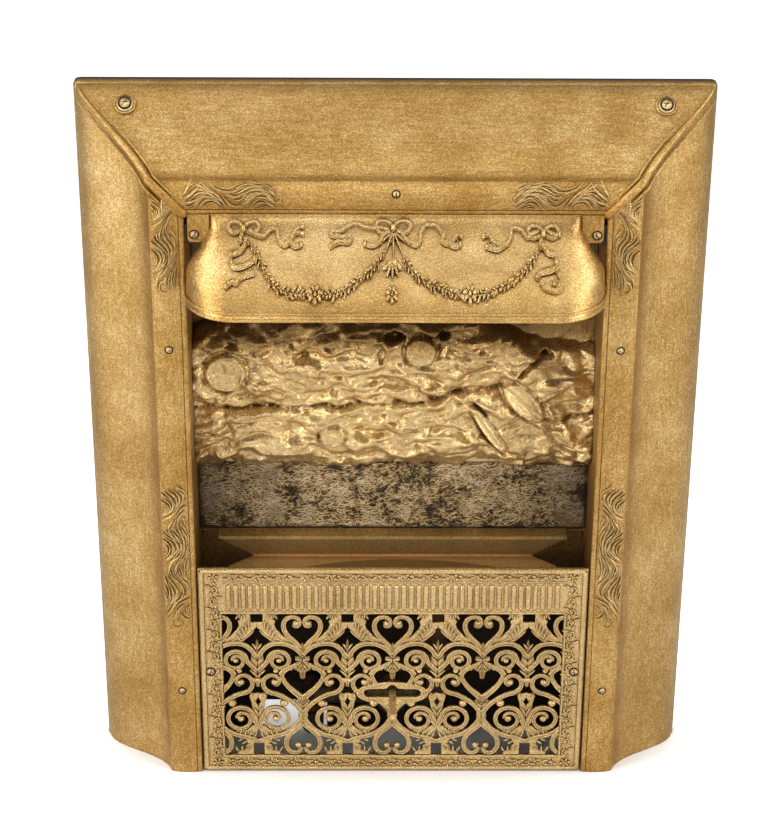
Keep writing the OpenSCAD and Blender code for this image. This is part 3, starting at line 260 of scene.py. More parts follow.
def polar(x, y, r, angle):
    """A point at a distance and an angle in degrees from another."""
    a = math.radians(angle)
    return x + r * math.cos(a), y + r * math.sin(a)


def spiral(centre, r0, r1, a0, a1, ease, count):
    """A spiral round a centre, from radius r0 to r1 and angle a0 to a1."""
    line = []
    for i in range(count + 1):
        t = i / count
        line.append(polar(*centre, r0 + (r1 - r0) * t ** ease, a0 + (a1 - a0) * t))
    return line


def taper(points, r0, r1):
    """A bar whose radius runs evenly from r0 to r1."""
    last = len(points) - 1
    return points, [r0 + (r1 - r0) * i / last for i in range(last + 1)]


def sweep(c, count, r0, r1):
    """A bar along a Bezier curve, whose radius runs evenly from r0 to r1."""
    return taper(bezier(c, count), r0, r1)


def bar(points, r):
    """A bar of one radius."""
    return points, [r] * len(points)


def circle(r, count, lift=0, x=0, y=0):
    """A closed circle round a point."""
    return [(x + r * math.cos(math.tau * k / count), y + r * math.sin(math.tau * k / count),
             lift) for k in range(count + 1)]


def heading(line, i):
    """Direction of a flat line at one of its points."""
    (x0, y0), (x1, y1) = line[max(i - 1, 0)], line[min(i + 1, len(line) - 1)]
    size = math.hypot(x1 - x0, y1 - y0) or 1
    return (x1 - x0) / size, (y1 - y0) / size


def leaf(start, angle, size, width, bend=0.0, lift=0.0):
    """A leaf shaped bar that starts at a point and runs at an angle in degrees."""
    points, radii = [], []
    a = math.radians(angle)
    x, y = start
    for i in range(7):
        t = i / 6
        points.append((x, y, lift * math.sin(math.pi * t)))
        swell = math.sin(math.pi * min(1, 0.12 + 0.86 * t)) ** 0.8
        radii.append(width * (0.15 + 0.85 * swell))
        x += size / 6 * math.cos(a)
        y += size / 6 * math.sin(a)
        a += math.radians(bend) / 6
    return points, radii


def ball(x, y, r):
    """A round boss."""
    steps = [-1, -0.92, -0.7, -0.35, 0, 0.35, 0.7, 0.92, 1]
    return ([(x + r * s, y) for s in steps],
            [r * math.sqrt(max(0.0, 1 - s * s)) for s in steps])


def smooth(t):
    """Eases from 0 to 1."""
    t = max(0.0, min(1.0, t))
    return t * t * (3 - 2 * t)


def lookup(x, table):
    """A value from a table of pairs, straight between them."""
    if x <= table[0][0]:
        return table[0][1]
    for (x0, y0), (x1, y1) in zip(table, table[1:]):
        if x <= x1:
            return y0 + (y1 - y0) * (x - x0) / max(x1 - x0, 1e-9)
    return table[-1][1]


def ridge(x, at, wide):
    """A smooth ridge of height 1, as wide as given."""
    return math.exp(-((x - at) / wide) ** 2)


def bumps(x, y, z, size, detail=3):
    """Smooth noise whose lumps are size millimetres wide."""
    return noise.fractal(Vector((x / size, y / size, z / size)), 1.0, 2.0, detail)


# ---------------------------------------------------------------- finishes

BLACK = (0, 0, 0)


def add(tree, kind, inputs=None, **settings):
    """Adds a node with its settings, values and links."""
    node = tree.nodes.new("ShaderNode" + kind)
    for key, value in settings.items():
        setattr(node, key, value)
    for key, value in (inputs or {}).items():
        socket = node.inputs[key]
        if isinstance(value, bpy.types.NodeSocket):
            tree.links.new(value, socket)
        else:
            socket.default_value = (*value, 1) if socket.type == "RGBA" else value
    return node


def started(name):
    """A new material with an empty tree, and its place on the object."""
    material = bpy.data.materials.new(name)
    material.use_nodes = True
    tree = material.node_tree
    tree.nodes.clear()
    return material, tree, add(tree, "TexCoord").outputs["Object"]


def surfaced(tree, inputs):
    """Ends a tree in a surface."""
    surface = add(tree, "BsdfPrincipled", inputs)
    add(tree, "OutputMaterial", {"Surface": surface.outputs["BSDF"]})


def mixed(tone, other, share):
    """A colour between two."""
    return [a + (b - a) * share for a, b in zip(tone, other)]


def clouds(tree, place, scale, detail=2.0, rough=0.5):
    """Soft noise."""
    return add(tree, "TexNoise", {"Vector": place, "Scale": scale, "Detail": detail,
                                  "Roughness": rough}).outputs["Fac"]


def ranged(tree, value, low, high, start=0.0, end=1.0):
    """A value taken from low..high to start..end."""
    return add(tree, "MapRange", {"Value": value, "From Min": low, "From Max": high,
                                  "To Min": start, "To Max": end}).outputs["Result"]


def weighed(tree, first, *others):
    """The sum of values times their weights."""
    total = add(tree, "Math", {0: first[0], 1: first[1]}, operation="MULTIPLY").outputs[0]
    for value, weight in others:
        total = add(tree, "Math", {0: value, 1: weight, 2: total},
                    operation="MULTIPLY_ADD").outputs[0]
    return total


def part_of(tree, vector, axis):
    """One part of a vector, by its axis."""
    return add(tree, "SeparateXYZ", {"Vector": vector}).outputs[axis]


def ramp(tree, value, stops):
    """Colours by a value from 0 to 1."""
    node = add(tree, "ValToRGB", {"Fac": value})
    elements = node.color_ramp.elements
    while len(elements) < len(stops):
        elements.new(0.5)
    for element, (at, tone) in zip(elements, stops):
        element.position = at
        element.color = (*tone, 1)
    return node.outputs["Color"]


def over(tree, share, under, tone, kind="MIX"):
    """A colour laid over another by a share."""
    return add(tree, "MixRGB", {"Fac": share, "Color1": under, "Color2": tone},
               blend_type=kind).outputs["Color"]


def shade_in_hollows(tree, reach, low, high, most):
    """Painted shade: a share that grows where the surface is closed in."""
    hollow = add(tree, "AmbientOcclusion", {"Distance": reach}, samples=6).outputs["AO"]
    return ranged(tree, hollow, low, high, most, 0)


def bumped(tree, height, strength, distance):
    """Normals roughened by a height."""
    return add(tree, "Bump", {"Strength": strength, "Distance": distance,
                              "Height": height}).outputs["Normal"]


def bronze_paint(name, stretch=(1, 1, 1), grain=1.0, tone=0.0, hollow_shade=0.5, metal=0.86,
                 rough=0.36, edge_y=None, reach_mm=4.0, pebble=0.0, highlight_and_wear=0.0, levels=(),
                 lacquer=0.0, calm=0.0):
    """Bronze powder paint brushed by hand over iron: a warm metallic body that sparkles
    with powder grains about a millimetre wide, darkened by painted shade in hollows and
    lightened by a painted highlight, which also stands for rubbing, on faces turned to the
    room. The real grains are finer, and are drawn coarse to show."""
    tones = bpy.context.scene.insert_colours
    dark, mid, light = tones.gold_dark, tones.gold_mid, tones.gold_light
    mid = mixed(mid, light if tone > 0 else dark, abs(tone))
    material, tree, place = started(name)
    brushed = add(tree, "Mapping", {"Vector": place, "Scale": stretch}).outputs["Vector"]
    patch = clouds(tree, place, 15, 3, 0.6)
    streak = clouds(tree, brushed, 420, 3, 0.7)
    flake = clouds(tree, place, 800 / grain, 2, 0.7)
    spark = add(tree, "TexVoronoi", {"Vector": place, "Scale": 900 / grain},
                feature="F1").outputs["Color"]
    spark = add(tree, "SeparateColor", {"Color": spark}).outputs["Red"]
    powder = weighed(tree, (patch, 0.26 + 0.25 * calm), (streak, 0.22),
                     (flake, 0.36 - 0.18 * calm), (spark, 0.14 - 0.07 * calm))
    colour_here = ramp(tree, powder, [
        (0.38, mixed(dark, mid, 0.45)), (0.44, mixed(dark, mid, 0.82)), (0.49, mid),
        (0.56, mixed(mid, light, 0.4)), (0.66, light)])
    for axis, low, high, tints in levels:
        # tints multiplied along an axis: mostly painted shade, in bands and under overhangs,
        # besides a real line of rust and the unpainted wall side
        level = ranged(tree, part_of(tree, place, axis), low * MM, high * MM)
        colour_here = over(tree, 1, colour_here, ramp(tree, level, tints), "MULTIPLY")
    if highlight_and_wear:
        # painted highlight, which also stands for rubbing: faces turned to the room, the tops
        # of raised work, are lightened towards the rubbed gold
        facing = part_of(tree, add(tree, "NewGeometry").outputs["Normal"], "Y")
        colour_here = over(tree, ranged(tree, facing, -0.6, -0.97, 0, highlight_and_wear), colour_here,
                           light)
    # painted shade: hollows are darkened towards a near-black brown by ambient occlusion
    settled = shade_in_hollows(tree, reach_mm * MM, 0.3, 0.88, hollow_shade)
    colour_here = over(tree, settled, colour_here, mixed(dark, BLACK, 0.72))
    if edge_y is not None:
        # the edge at the wall is dirty
        near = ranged(tree, part_of(tree, place, "Y"), edge_y - 0.004, edge_y + 0.003)
        colour_here = over(tree, near, colour_here, mixed(dark, BLACK, 0.7))
    raised = [(flake, 1), (streak, 0.4), (spark, 0.3)]
    if pebble:
        raised.append((clouds(tree, place, 330, 1), pebble))
    surfaced(tree, {"Base Color": colour_here, "Metallic": metal,
                    "Roughness": ranged(tree, flake, 0.3, 0.7, rough + 0.08, rough - 0.06),
                    "Normal": bumped(tree, weighed(tree, *raised), 1.0 - 0.4 * calm, 0.0005),
                    "Coat Weight": lacquer, "Coat Roughness": 0.24})
    return material


def scaled_metal(name, base, patina, share=0.5, metal=0.5, rough=0.6, size=60):
    """Metal under a patchy skin of rust, scale or tarnish: dull where the skin is thick,
    with a weak sheen where metal shows."""
    material, tree, place = started(name)
    patch = clouds(tree, place, size, 6, 0.65)
    fine = clouds(tree, place, 650, 3, 0.7)
    total = weighed(tree, (patch, 1), (fine, 0.35))
    skin = ranged(tree, total, 0.5 + 0.3 * (1 - share), 0.62 + 0.3 * (1 - share))
    shaded = add(tree, "VectorMath", {0: over(tree, skin, base, patina),
                                      "Scale": ranged(tree, fine, 0.3, 0.7, 0.7, 1.25)},
                 operation="SCALE").outputs["Vector"]
    surfaced(tree, {"Base Color": shaded, "Metallic": ranged(tree, skin, 0, 1, metal, 0.05),
                    "Roughness": ranged(tree, skin, 0, 1, rough, 0.88),
                    "Normal": bumped(tree, total, 0.6, 0.0005)})
    return material


def mineral_wool(name, strand=False):
    """Felted mineral fibre, scorched by the flame: matt, mottled from cream to black with
    rusty spots, and darkened in its hollows by painted shade."""
    tones = bpy.context.scene.insert_colours
    light, dark = tones.fibre_light, tones.fibre_dark
    material, tree, place = started(name)
    patch = clouds(tree, place, 30, 6, 0.7)
    tuft = clouds(tree, place, 190 if strand else 330, 3, 0.7)
    if strand:
        stops = [(0.64, mixed(dark, BLACK, 0.5)), (0.71, mixed(dark, light, 0.18)),
                 (0.75, mixed(dark, light, 0.62)), (0.8, light),
                 (0.88, mixed(light, (1, 1, 1), 0.3))]
    else:
        stops = [(0.60, (0.008, 0.006, 0.004)), (0.75, mixed(dark, BLACK, 0.3)),
                 (0.9, mixed(dark, light, 0.3))]
    colour_here = ramp(tree, weighed(tree, (patch, 1), (tuft, 0.6)), stops)
    # rusty spots, painted shade in the hollows between the fibres, and darker towards both
    # ends of the pad
    across = add(tree, "Math", {0: part_of(tree, place, "X")}, operation="ABSOLUTE").outputs[0]
    for share, tone in (
            (ranged(tree, clouds(tree, place, 31, 3), 0.56, 0.7, 0, 0.6),
             mixed(tones.rust, light, 0.3)),
            (shade_in_hollows(tree, 0.003, 0.2, 0.9, 0.85), mixed(dark, BLACK, 0.7)),
            (ranged(tree, across, 0.13, 0.2, 0, 0.55), mixed(dark, BLACK, 0.6))):
        colour_here = over(tree, share, colour_here, tone)
    surfaced(tree, {"Base Color": colour_here, "Roughness": 0.92,
                    "Normal": bumped(tree, tuft, 1.0, 0.0012)})
    return material


# Tints along an axis, between two places in millimetres.
# painted shade in bands across the top panel: under the moulding's crown, a dark line at the
# step, and towards the top edge
TOP_PAINTED_SHADE = ("Z", 650, 762, (
    (0, (1, 0.94, 0.8)), (0.05, (0.86, 0.76, 0.58)), (0.12, (0.92, 0.83, 0.65)),
    (0.25, (1, 0.96, 0.85)), (0.3, (1, 0.96, 0.85)), (0.325, (0.78, 0.7, 0.55)),
    (0.35, (1, 0.98, 0.94)), (0.4, (1, 0.98, 0.94)), (0.75, (0.96, 0.95, 0.94)),
    (1, (0.84, 0.82, 0.79))))
# the same painted shade across the side panels: a dark line at each step, a little at the
# outer edges and inside the moulding
SIDE_PAINTED_SHADE = ("X", -317.5, 317.5, (
    (0, (0.94, 0.95, 0.98)), (0.1, (1, 1, 1)), (0.117, (0.78, 0.7, 0.56)),
    (0.13, (1, 0.98, 0.94)), (0.17, (0.97, 0.92, 0.82)), (0.5, (1, 1, 1)),
    (0.83, (0.97, 0.92, 0.82)), (0.87, (1, 0.98, 0.94)), (0.883, (0.78, 0.7, 0.56)),
    (0.9, (1, 1, 1)), (1, (0.94, 0.95, 0.98))))
# the hood: a painted shade darkens it towards its neck under the lintel; warmer towards the
# rim
HOOD_SHADE_AND_WARMTH = ("Z", 570, 651, (
    (0, (1, 0.9, 0.7)), (0.25, (1, 0.93, 0.77)), (0.5, (1, 1, 0.98)),
    (0.8, (0.98, 0.93, 0.84)), (1, (0.88, 0.81, 0.68))))
# painted shadow of the hood over the top of the logs, near black at the plate above them
LOG_PAINTED_SHADOW = ("Z", 343, 530, (
    (0, (1, 1, 1)), (0.7, (1, 1, 1)), (0.765, (0.74, 0.68, 0.58)), (0.81, (0.4, 0.34, 0.26)),
    (1, (0.1, 0.08, 0.06))))
# the burner: a band of painted shade on the face below the ports, lighter on the belly and at
# the top edge
BELLY_SHADE_BANDS = ("Z", 210, 265, (
    (0, (0.8, 0.74, 0.62)), (0.55, (1, 0.94, 0.82)), (0.575, (0.9, 0.8, 0.7)),
    (0.6, (0.28, 0.22, 0.15)), (0.9, (0.36, 0.31, 0.21)), (0.97, (0.9, 0.85, 0.75))))
BELLY_RUST = ("Y", -60, -30, (
    (0, (1, 1, 1)), (0.5, (1, 0.98, 0.95)), (0.7, (0.8, 0.7, 0.56)),
    (0.735, (0.85, 0.34, 0.13)), (0.76, (0.9, 0.4, 0.18)), (0.81, (0.95, 0.9, 0.85)),
    (1, (1, 1, 1))))
# painted shade inside the insert: nearly black low down behind the grille, lighter upwards
CHEEK_PAINTED_SHADE = ("Z", 0, 400, (
    (0, (0.03, 0.025, 0.02)), (0.47, (0.04, 0.035, 0.025)), (0.53, (0.34, 0.27, 0.18)),
    (0.62, (0.47, 0.39, 0.27)), (0.86, (0.56, 0.49, 0.38)), (1, (0.76, 0.69, 0.58))))
UNPAINTED_WALL_SIDE = ("Y", -1.6, -0.4, ((0, (1, 1, 1)), (1, (0.13, 0.12, 0.12))))


def make_finish(name):
    """Each finish by its name."""
    tones = bpy.context.scene.insert_colours
    rust, soot, iron, brass = tones.rust, tones.soot, tones.iron, tones.brass
    paint, metal = bronze_paint, scaled_metal
    kind, label, settings = {
        # brushed on sideways over rolled sheet, with bands of painted shade across its section
        # and painted shade in its hollows
        "top_gold": (paint, "bronze_paint_brushed_sideways", dict(
            stretch=(0.12, 1, 1), edge_y=-0.006, tone=-0.08, levels=[TOP_PAINTED_SHADE])),
        # brushed on up and down over rolled sheet, with the same painted shade
        "side_gold": (paint, "bronze_paint_brushed_upright", dict(
            stretch=(1, 1, 0.16), edge_y=-0.006, tone=-0.07, levels=[SIDE_PAINTED_SHADE])),
        # brushed over pressed sheet, pebbled by thick paint, with painted shade towards its
        # neck and in its hollows
        "hood_gold": (paint, "bronze_paint_on_pressed_sheet", dict(
            tone=0.2, rough=0.27, pebble=0.6, lacquer=0.25, calm=0.8, levels=[HOOD_SHADE_AND_WARMTH])),
        # brushed over rough cast iron, bright on the ridges against painted shade in the
        # hollows, with the hood's painted shadow along the top
        "log_gold": (paint, "bronze_paint_on_cast_bark", dict(
            grain=1.1, tone=0.45, hollow_shade=0.75, rough=0.22, reach_mm=7, pebble=0.6,
            levels=[LOG_PAINTED_SHADOW])),
        # the same coat on the plate behind the logs, dulled by smoke and darkened by painted
        # shade where the hood and the logs close it in
        "plate_gold": (paint, "bronze_paint_dulled_by_smoke", dict(
            tone=-0.7, hollow_shade=0.9, metal=0.4, rough=0.6, reach_mm=30)),
        # brushed over fine cast iron, with painted shade in its hollows and a faint painted
        # highlight on faces turned to the room
        "grille_gold": (paint, "bronze_paint_on_fine_casting", dict(
            grain=0.9, tone=0.36, hollow_shade=0.9, rough=0.25, reach_mm=4, highlight_and_wear=0.12)),
        # brushed over low ornament, with painted shade at its feet and a painted highlight,
        # which also stands for rubbing, on ridges that face the room
        "raised_gold": (paint, "bronze_paint_on_raised_work", dict(
            grain=0.9, tone=0.05, hollow_shade=0.9, rough=0.25, reach_mm=3, highlight_and_wear=0.35)),
        # brushed over shallow foliage, with light painted shade in its hollows and a faint
        # painted highlight, which also stands for rubbing
        "leaf_gold": (paint, "bronze_paint_on_foliage", dict(
            grain=0.9, tone=0.08, hollow_shade=0.32, rough=0.3, reach_mm=3, highlight_and_wear=0.15)),
        # paint rubbed thin on the ported strip, with painted shade in its hollows
        "burner_gold": (paint, "bronze_paint_scorched", dict(
            stretch=(0.3, 1, 1), tone=0.2, hollow_shade=0.4, metal=0.75, rough=0.36)),
        # handled paint on the lever and the screws, with painted shade round them and a
        # painted highlight, which also stands for rubbing, on faces turned to the room
        "lever_gold": (paint, "bronze_paint_handled", dict(
            grain=0.8, tone=0.4, hollow_shade=0.7, rough=0.3, reach_mm=2, highlight_and_wear=0.4)),
        # paint over cast iron, scorched olive near the flame with a line of rust, and a band
        # of painted shade on the face below the ports
        "belly_iron": (paint, "bronze_paint_scorched_by_flame", dict(
            stretch=(0.3, 1, 1), tone=0.75, hollow_shade=0.2, metal=0.6, rough=0.38,
            levels=[BELLY_SHADE_BANDS, BELLY_RUST])),
        # paint on sheet iron under a painted shade that deepens downwards to nearly black
        # behind the grille
        "cheek_iron": (paint, "bronze_paint_smoked", dict(
            stretch=(1, 1, 0.3), tone=-0.1, metal=0.6, rough=0.45,
            levels=[CHEEK_PAINTED_SHADE, UNPAINTED_WALL_SIDE])),
        # near-black in the gaps round screw heads and in their slots: a painted shadow, with
        # grime where the brush did not reach
        "shadow_in_gaps": (metal, "grime_in_gaps", dict(
            base=mixed(soot, BLACK, 0.5), patina=soot, share=0.4, metal=0.0, rough=0.8)),
        # rolled iron with mill scale
        "dark_iron": (metal, "rolled_iron_with_scale", dict(
            base=iron, patina=mixed(rust, soot, 0.4))),
        # cast iron scorched brown under thin paint
        "rusty_iron": (metal, "cast_iron_scorched", dict(
            base=mixed(rust, soot, 0.4), patina=mixed(rust, soot, 0.8), share=0.45,
            size=45)),
        # turned brass, tarnished
        "old_brass": (metal, "turned_brass_tarnished", dict(
            base=brass, patina=mixed(brass, soot, 0.6), share=0.4, metal=0.9, rough=0.35)),
        # cast brass with verdigris
        "green_brass": (metal, "cast_brass_verdigris", dict(
            base=mixed(brass, soot, 0.5), patina=mixed(tones.verdigris, soot, 0.5),
            share=0.7, metal=0.4)),
        # mineral fibre felted into a pad, and the loose ends on it
        "fibre": (mineral_wool, "mineral_wool_felted", {}),
        "fibre_ends": (mineral_wool, "mineral_wool_loose_ends", dict(strand=True)),
    }[name]
    return kind(label, **settings)


made_finishes = {}


def finish(name):
    """A finish, made the first time that it's asked for."""
    if name not in made_finishes:
        made_finishes[name] = make_finish(name)
    return made_finishes[name]


# ---------------------------------------------------------------- surround

def sizes():
    """The sizes in millimetres."""
    kept = bpy.context.scene.insert_sizes
    return {key: getattr(kept, key) / MM for key in InsertSizes.__annotations__
            if key != "strands"}


# The moulding's width, the return at the wall, how far the slope ends below the moulding,
# and a corner screw's distances from the side and the top.
MOULDING_WIDTH = 36.0
RETURN_DEPTH = 12.0
PANEL_DROP = 9.0
SCREW_IN, SCREW_DOWN = 53.5, 17.0


def surround_profile():
    """Section of the surround: distance in from the outer edge, and depth from the wall."""
    s = sizes()
    w, d = s["frame_width"], s["depth"]
    panel = w - MOULDING_WIDTH
    rise = d - PANEL_DROP - RETURN_DEPTH

    def on_slope(points, count, first=0):
        return bezier([(a * panel, RETURN_DEPTH + b * rise) for a, b in points], count, first)

    crown = [(panel + 2 + a * MOULDING_WIDTH, d + b)
             for a, b in ((0, -3.5), (0.16, 0.4), (0.55, 0.5), (0.78, -0.8))]
    lip = [(w - 5, d - 0.9), (w - 2.5, d - 0.5), (w - 0.2, d - 1.4), (w, d - 4)]
    return ([(0, 0.3), (0.4, 4), (1.2, 9), (2.2, 11.4)]
            + on_slope([(0.04, 0), (0.08, 0.24), (0.32, 0.39), (0.573, 0.56)], 26)
            + on_slope([(0.573, 0.56), (0.747, 0.676), (0.933, 0.836), (1, 1)], 20, 1)
            + [(panel + 0.5, RETURN_DEPTH + rise + 1), (panel + 1.2, RETURN_DEPTH + rise + 3)]
            + bezier(crown, 20)
            + [(w - 5.7, d - 1.9), (w - 5.3, d - 1.9)]
            + bezier(lip, 8))


def on_panel(profile, inward, x, z):
    """A place on the panels, which are a little wavy away from their edges, and are pulled
    in at the two rounded top corners."""
    s = sizes()
    fade = smooth((inward - 3) / 12) * smooth((74 - inward) / 10)
    y = -(lookup(inward, profile) + fade * 0.35 * bumps(x, 7, z, 95, 2))
    r = s["corner_radius"] + 1
    middle_x, middle_z = s["half_width"] - r, s["height"] - r
    dx, dz = abs(x) - middle_x, z - middle_z
    if dx > 0 and dz > 0:
        shrink = max(dx, dz) / math.hypot(dx, dz)
        x, z = math.copysign(middle_x + dx * shrink, x), middle_z + dz * shrink
    return x, y, z


def moulding_place(profile):
    """Places ornament given by x and z on the front of the surround."""
    s = sizes()

    def place(x, z, lift):
        inward = min(s["half_width"] - abs(x), s["height"] - z)
        return x, -(lookup(inward, profile) + lift), z
    return place


class HEARTH_OT_surround(bpy.types.Operator):
    """Builds the three panels of the surround, mitred at the top corners"""
    bl_idname = "hearth.surround"
    bl_label = "Surround"

    def execute(self, context):
        s = sizes()
        half, high = s["half_width"], s["height"]
        profile = surround_profile()
        last = len(profile) - 1

        def side(sign):
            def place(u, v):
                inward = profile[round((u if sign < 0 else 1 - u) * last)][0]
                return on_panel(profile, inward, sign * (half - inward), v * (high - inward))
            return place

        def top(u, v):
            inward = profile[round((1 - v) * last)][0]
            return on_panel(profile, inward, (2 * u - 1) * (half - inward), high - inward)

        for name, place, columns, rows, node, coat in (
                ("left_side_panel", side(-1), last, 110, "left_panel", "side_gold"),
                ("right_side_panel", side(1), last, 110, "right_panel", "side_gold"),
                ("top_front_panel", top, 130, last, "top_panel", "top_gold")):
            piece = grid(name, columns, rows, place)
            modify(piece, "SOLIDIFY", thickness=2.5 * MM, offset=-1)
            finished(piece, coat, 32, node)
        # a ring round the screw's head, and its slot, which follows the dome, both near-black:
        # a painted shadow with grime
        slot = [(-2.2, -3, 6.4), (0, 0, 7.1), (2.2, 3, 6.4)]
        for sign, name in ((-1, "left_screw_boss"), (1, "right_screw_boss")):
            seat = seat_place(sign, profile)
            finished(screw_boss(name, seat), "top_gold", 40, "top_panel")
            gap = strokes(name + "_gap", [bar(circle(5.9, 32, 4.2), 0.9), bar(slot, 0.7)],
                          seat, sides=1)
            finished(gap, "shadow_in_gaps", 60, "top_panel")
        return {"FINISHED"}


def seat_place(sign, profile):
    """Lays a piece, drawn flat, on the panel at a corner screw."""
    s = sizes()
    tilt = math.atan2(lookup(SCREW_DOWN + 2, profile) - lookup(SCREW_DOWN - 2, profile), 4)
    turn = Matrix.Rotation(math.pi / 2 - tilt, 4, "X")
    seat = Vector((sign * (s["half_width"] - SCREW_IN), -lookup(SCREW_DOWN, profile),
                   s["height"] - SCREW_DOWN))
    return lambda a, b, c: seat + turn @ Vector((a, b, c - 1))


def screw_boss(name, seat):
    """Raised round seat of a corner screw, tilted with the panel."""
    deselect()
    bpy.ops.mesh.primitive_cylinder_add(vertices=48, radius=10.5, depth=4,
                                        end_fill_type="NGON")
    disc = bpy.context.object
    modify(disc, "BEVEL", width=0.9, segments=3, limit_method="ANGLE")
    rim = strokes("rim", [bar(circle(9.6, 40, 2.0), 1.3)], sides=3)
    return laid(joined(name, [disc, rim]), seat)


class HEARTH_OT_mitre_beads(bpy.types.Operator):
    """Lays the two beads that cover the mitres, each a roll beside a thin ridge"""
    bl_idname = "hearth.mitre_beads"
    bl_label = "Mitre beads"

    def execute(self, context):
        s = sizes()
        half, high, w = s["half_width"], s["height"], s["frame_width"]
        profile = surround_profile()
        for sign, name in ((-1, "left_mitre_bead"), (1, "right_mitre_bead")):
            lines = []
            for is_roll, shift, size, sink in ((True, 0.6, 5.2, 0.3),
                                               (False, -4.9, 1.8, -0.2),
                                               (False, 5.6, 1.3, 0.2)):
                start = 6 if is_roll else 11
                points, radii = [], []
                for i in range(61):
                    t = i / 60
                    inward = start + (w + 3 - start) * t
                    tip = smooth((t - 0.9) * 10)
                    across = shift * (1 - smooth((t - 0.8) / 0.12))
                    x = sign * (half - inward - across)
                    z = high - inward + across
                    depth = lookup(min(inward, w - 7), profile) - size * sink
                    points.append((x, -(depth - 2.5 * tip), z))
                    rough = 1 + 0.06 * bumps(inward, size, 3, 6)
                    swell = 1 + 0.15 * smooth((t - 0.86) / 0.05)
                    end = (math.sqrt(max(0.02, 1 - max(0, (t - 0.955) / 0.045) ** 2))
                           if is_roll else 1 - smooth((t - 0.84) / 0.08))
                    radii.append(size * (0.42 + 0.58 * smooth(t * 1.3)) * rough * swell * end
                                 * (0.3 if i == 0 else 1))
                lines.append((points, radii))
            piece = strokes(name, lines, lambda a, b, c: (a, b, c), sides=4)
            finished(piece, "top_gold", 60, "top_panel")
        return {"FINISHED"}


def flowing(x0, y0, x1, y1, wide, phase, rng):
    """Foliage in waves: raised strands side by side that sway across a band and back."""
    long = math.hypot(x1 - x0, y1 - y0)
    ux, uy = (x1 - x0) / long, (y1 - y0) / long
    lines = []
    columns = int(wide / 3.0)
    for row in range(-1, int(long / 9) + 1):
        for column in range(columns + 1):
            along = row * 9 + (column * 5 % 9) + rng.uniform(-1.5, 1.5)
            across = (column / columns - 0.5) * wide + rng.uniform(-0.6, 0.6)
            if along < -3:
                continue
            points = []
            hook = rng.uniform(-40, 40)
            for k in range(9):
                turn = (44 * math.sin(math.tau * along / 52 + 0.07 * across + phase)
                        + 2.3 * across * math.cos(math.tau * along / 41 + phase)
                        + hook * (k / 8) ** 3)
                points.append((x0 + ux * along - uy * across, y0 + uy * along + ux * across,
                               0.35 + 0.25 * math.sin(math.pi * k / 8)))
                along += 2.1 * math.cos(math.radians(turn))
                across += 2.1 * math.sin(math.radians(turn))
                if abs(across) > wide / 2 or along > long:
                    break
            if len(points) > 4:
                last = len(points) - 1
                lines.append((points, [math.sin(math.pi * (0.16 + 0.76 * k / last)) ** 0.7
                                       for k in range(last + 1)]))
    return lines


def mirrored(lines):
    """The same bars on the other side of the middle."""
    return [([(-x, *rest) for x, *rest in points], radii) for points, radii in lines]


class HEARTH_OT_moulding_leaves(bpy.types.Operator):
    """Draws the low plumes of foliage on the moulding, at the corners and the sides"""
    bl_idname = "hearth.moulding_leaves"
    bl_label = "Moulding leaves"

    def execute(self, context):
        place = moulding_place(surround_profile())
        s = sizes()
        edge = s["half_width"] - s["frame_width"] + 6.5
        low = s["height"] - s["frame_width"] + 6.5
        crown = 29

        def kept(a, b):
            """Keeps a strand on the crown of the moulding."""
            if abs(a) < edge - 4 or b > low - 0.5:
                return a, min(max(b, low), low + crown)
            return math.copysign(min(max(abs(a), edge), edge + crown), a), b

        rng = random.Random(7)
        lines = []
        # waves of foliage along the top, below the corner and low on the side
        lines += flowing(-207, 671.5, -116, 671.5, 27, 0.4, rng)
        lines += flowing(-226.5, 668, -226.5, 574, 26, 2.2, rng)
        lines += flowing(-226.5, 352, -226.5, 192, 26, 0.9, rng)
        for x, z, r, turn in ((-226, 574, 9, 60), (-226, 190, 9, 100), (-116, 671, 9, 150)):
            lines.append(taper(spiral((x, z), r, 3, turn, turn + 300, 1, 18), 1.1, 0.8))
        for x, z, angle in ((-205, 664, 12), (-205, 668, 32), (-206, 672, 55),
                            (-222, 668, -70), (-226, 670, -100)):
            lines.append(leaf((x, z), angle, 24, 1.5, 30, 0.8))
        for name, drawn in (("left_moulding_leaves", lines),
                            ("right_moulding_leaves", mirrored(lines))):
            piece = strokes(name, drawn,
                            lambda a, b, c: place(*kept(a, b), 1.1 * c + 0.5), sides=1)
            finished(piece, "leaf_gold", 60, "top_panel")
        return {"FINISHED"}


# ---------------------------------------------------------------- hood

# Half the neck's width, and the depth that the hood stands out from.
HOOD_NECK = 180.5
HOOD_BACK = -82.0


def hood_span():
    """Where the hood's neck is, and how far it hangs down from there."""
    s = sizes()
    return s["height"] - s["frame_width"] - 0.4, s["hood_height"] - 0.4


def hood_outline(t):
    """Half width, reach and corner size of the hood at a level from 0, its neck, to 1."""
    s = sizes()
    open_half = s["half_width"] - s["frame_width"]
    wide = HOOD_NECK + (open_half - 1 - HOOD_NECK) * smooth((t - 0.12) / 0.62)
    rise = max(0, (t - 0.04) / 0.96)
    reach = 5 + (s["hood_reach"] - 5) * (0.3 * rise + 0.7 * smooth(rise))
    corner_w = min(50 * smooth(0.25 + t), wide * 0.8)
    corner_d = min(58, reach * 0.85)
    return wide, reach, corner_w, corner_d


def hood_y(x, z):
    """Front of the hood."""
    top, tall = hood_span()
    level = max(0.0, min(1.0, (top - z) / tall))
    wide, reach, corner_w, corner_d = hood_outline(level)
    past = abs(x) - (wide - corner_w)
    if past > 0:
        share = min(1.0, past / corner_w)
        return (HOOD_BACK - (reach - corner_d)
                - corner_d * math.sqrt(max(0.0, 1 - share * share)))
    return HOOD_BACK - reach


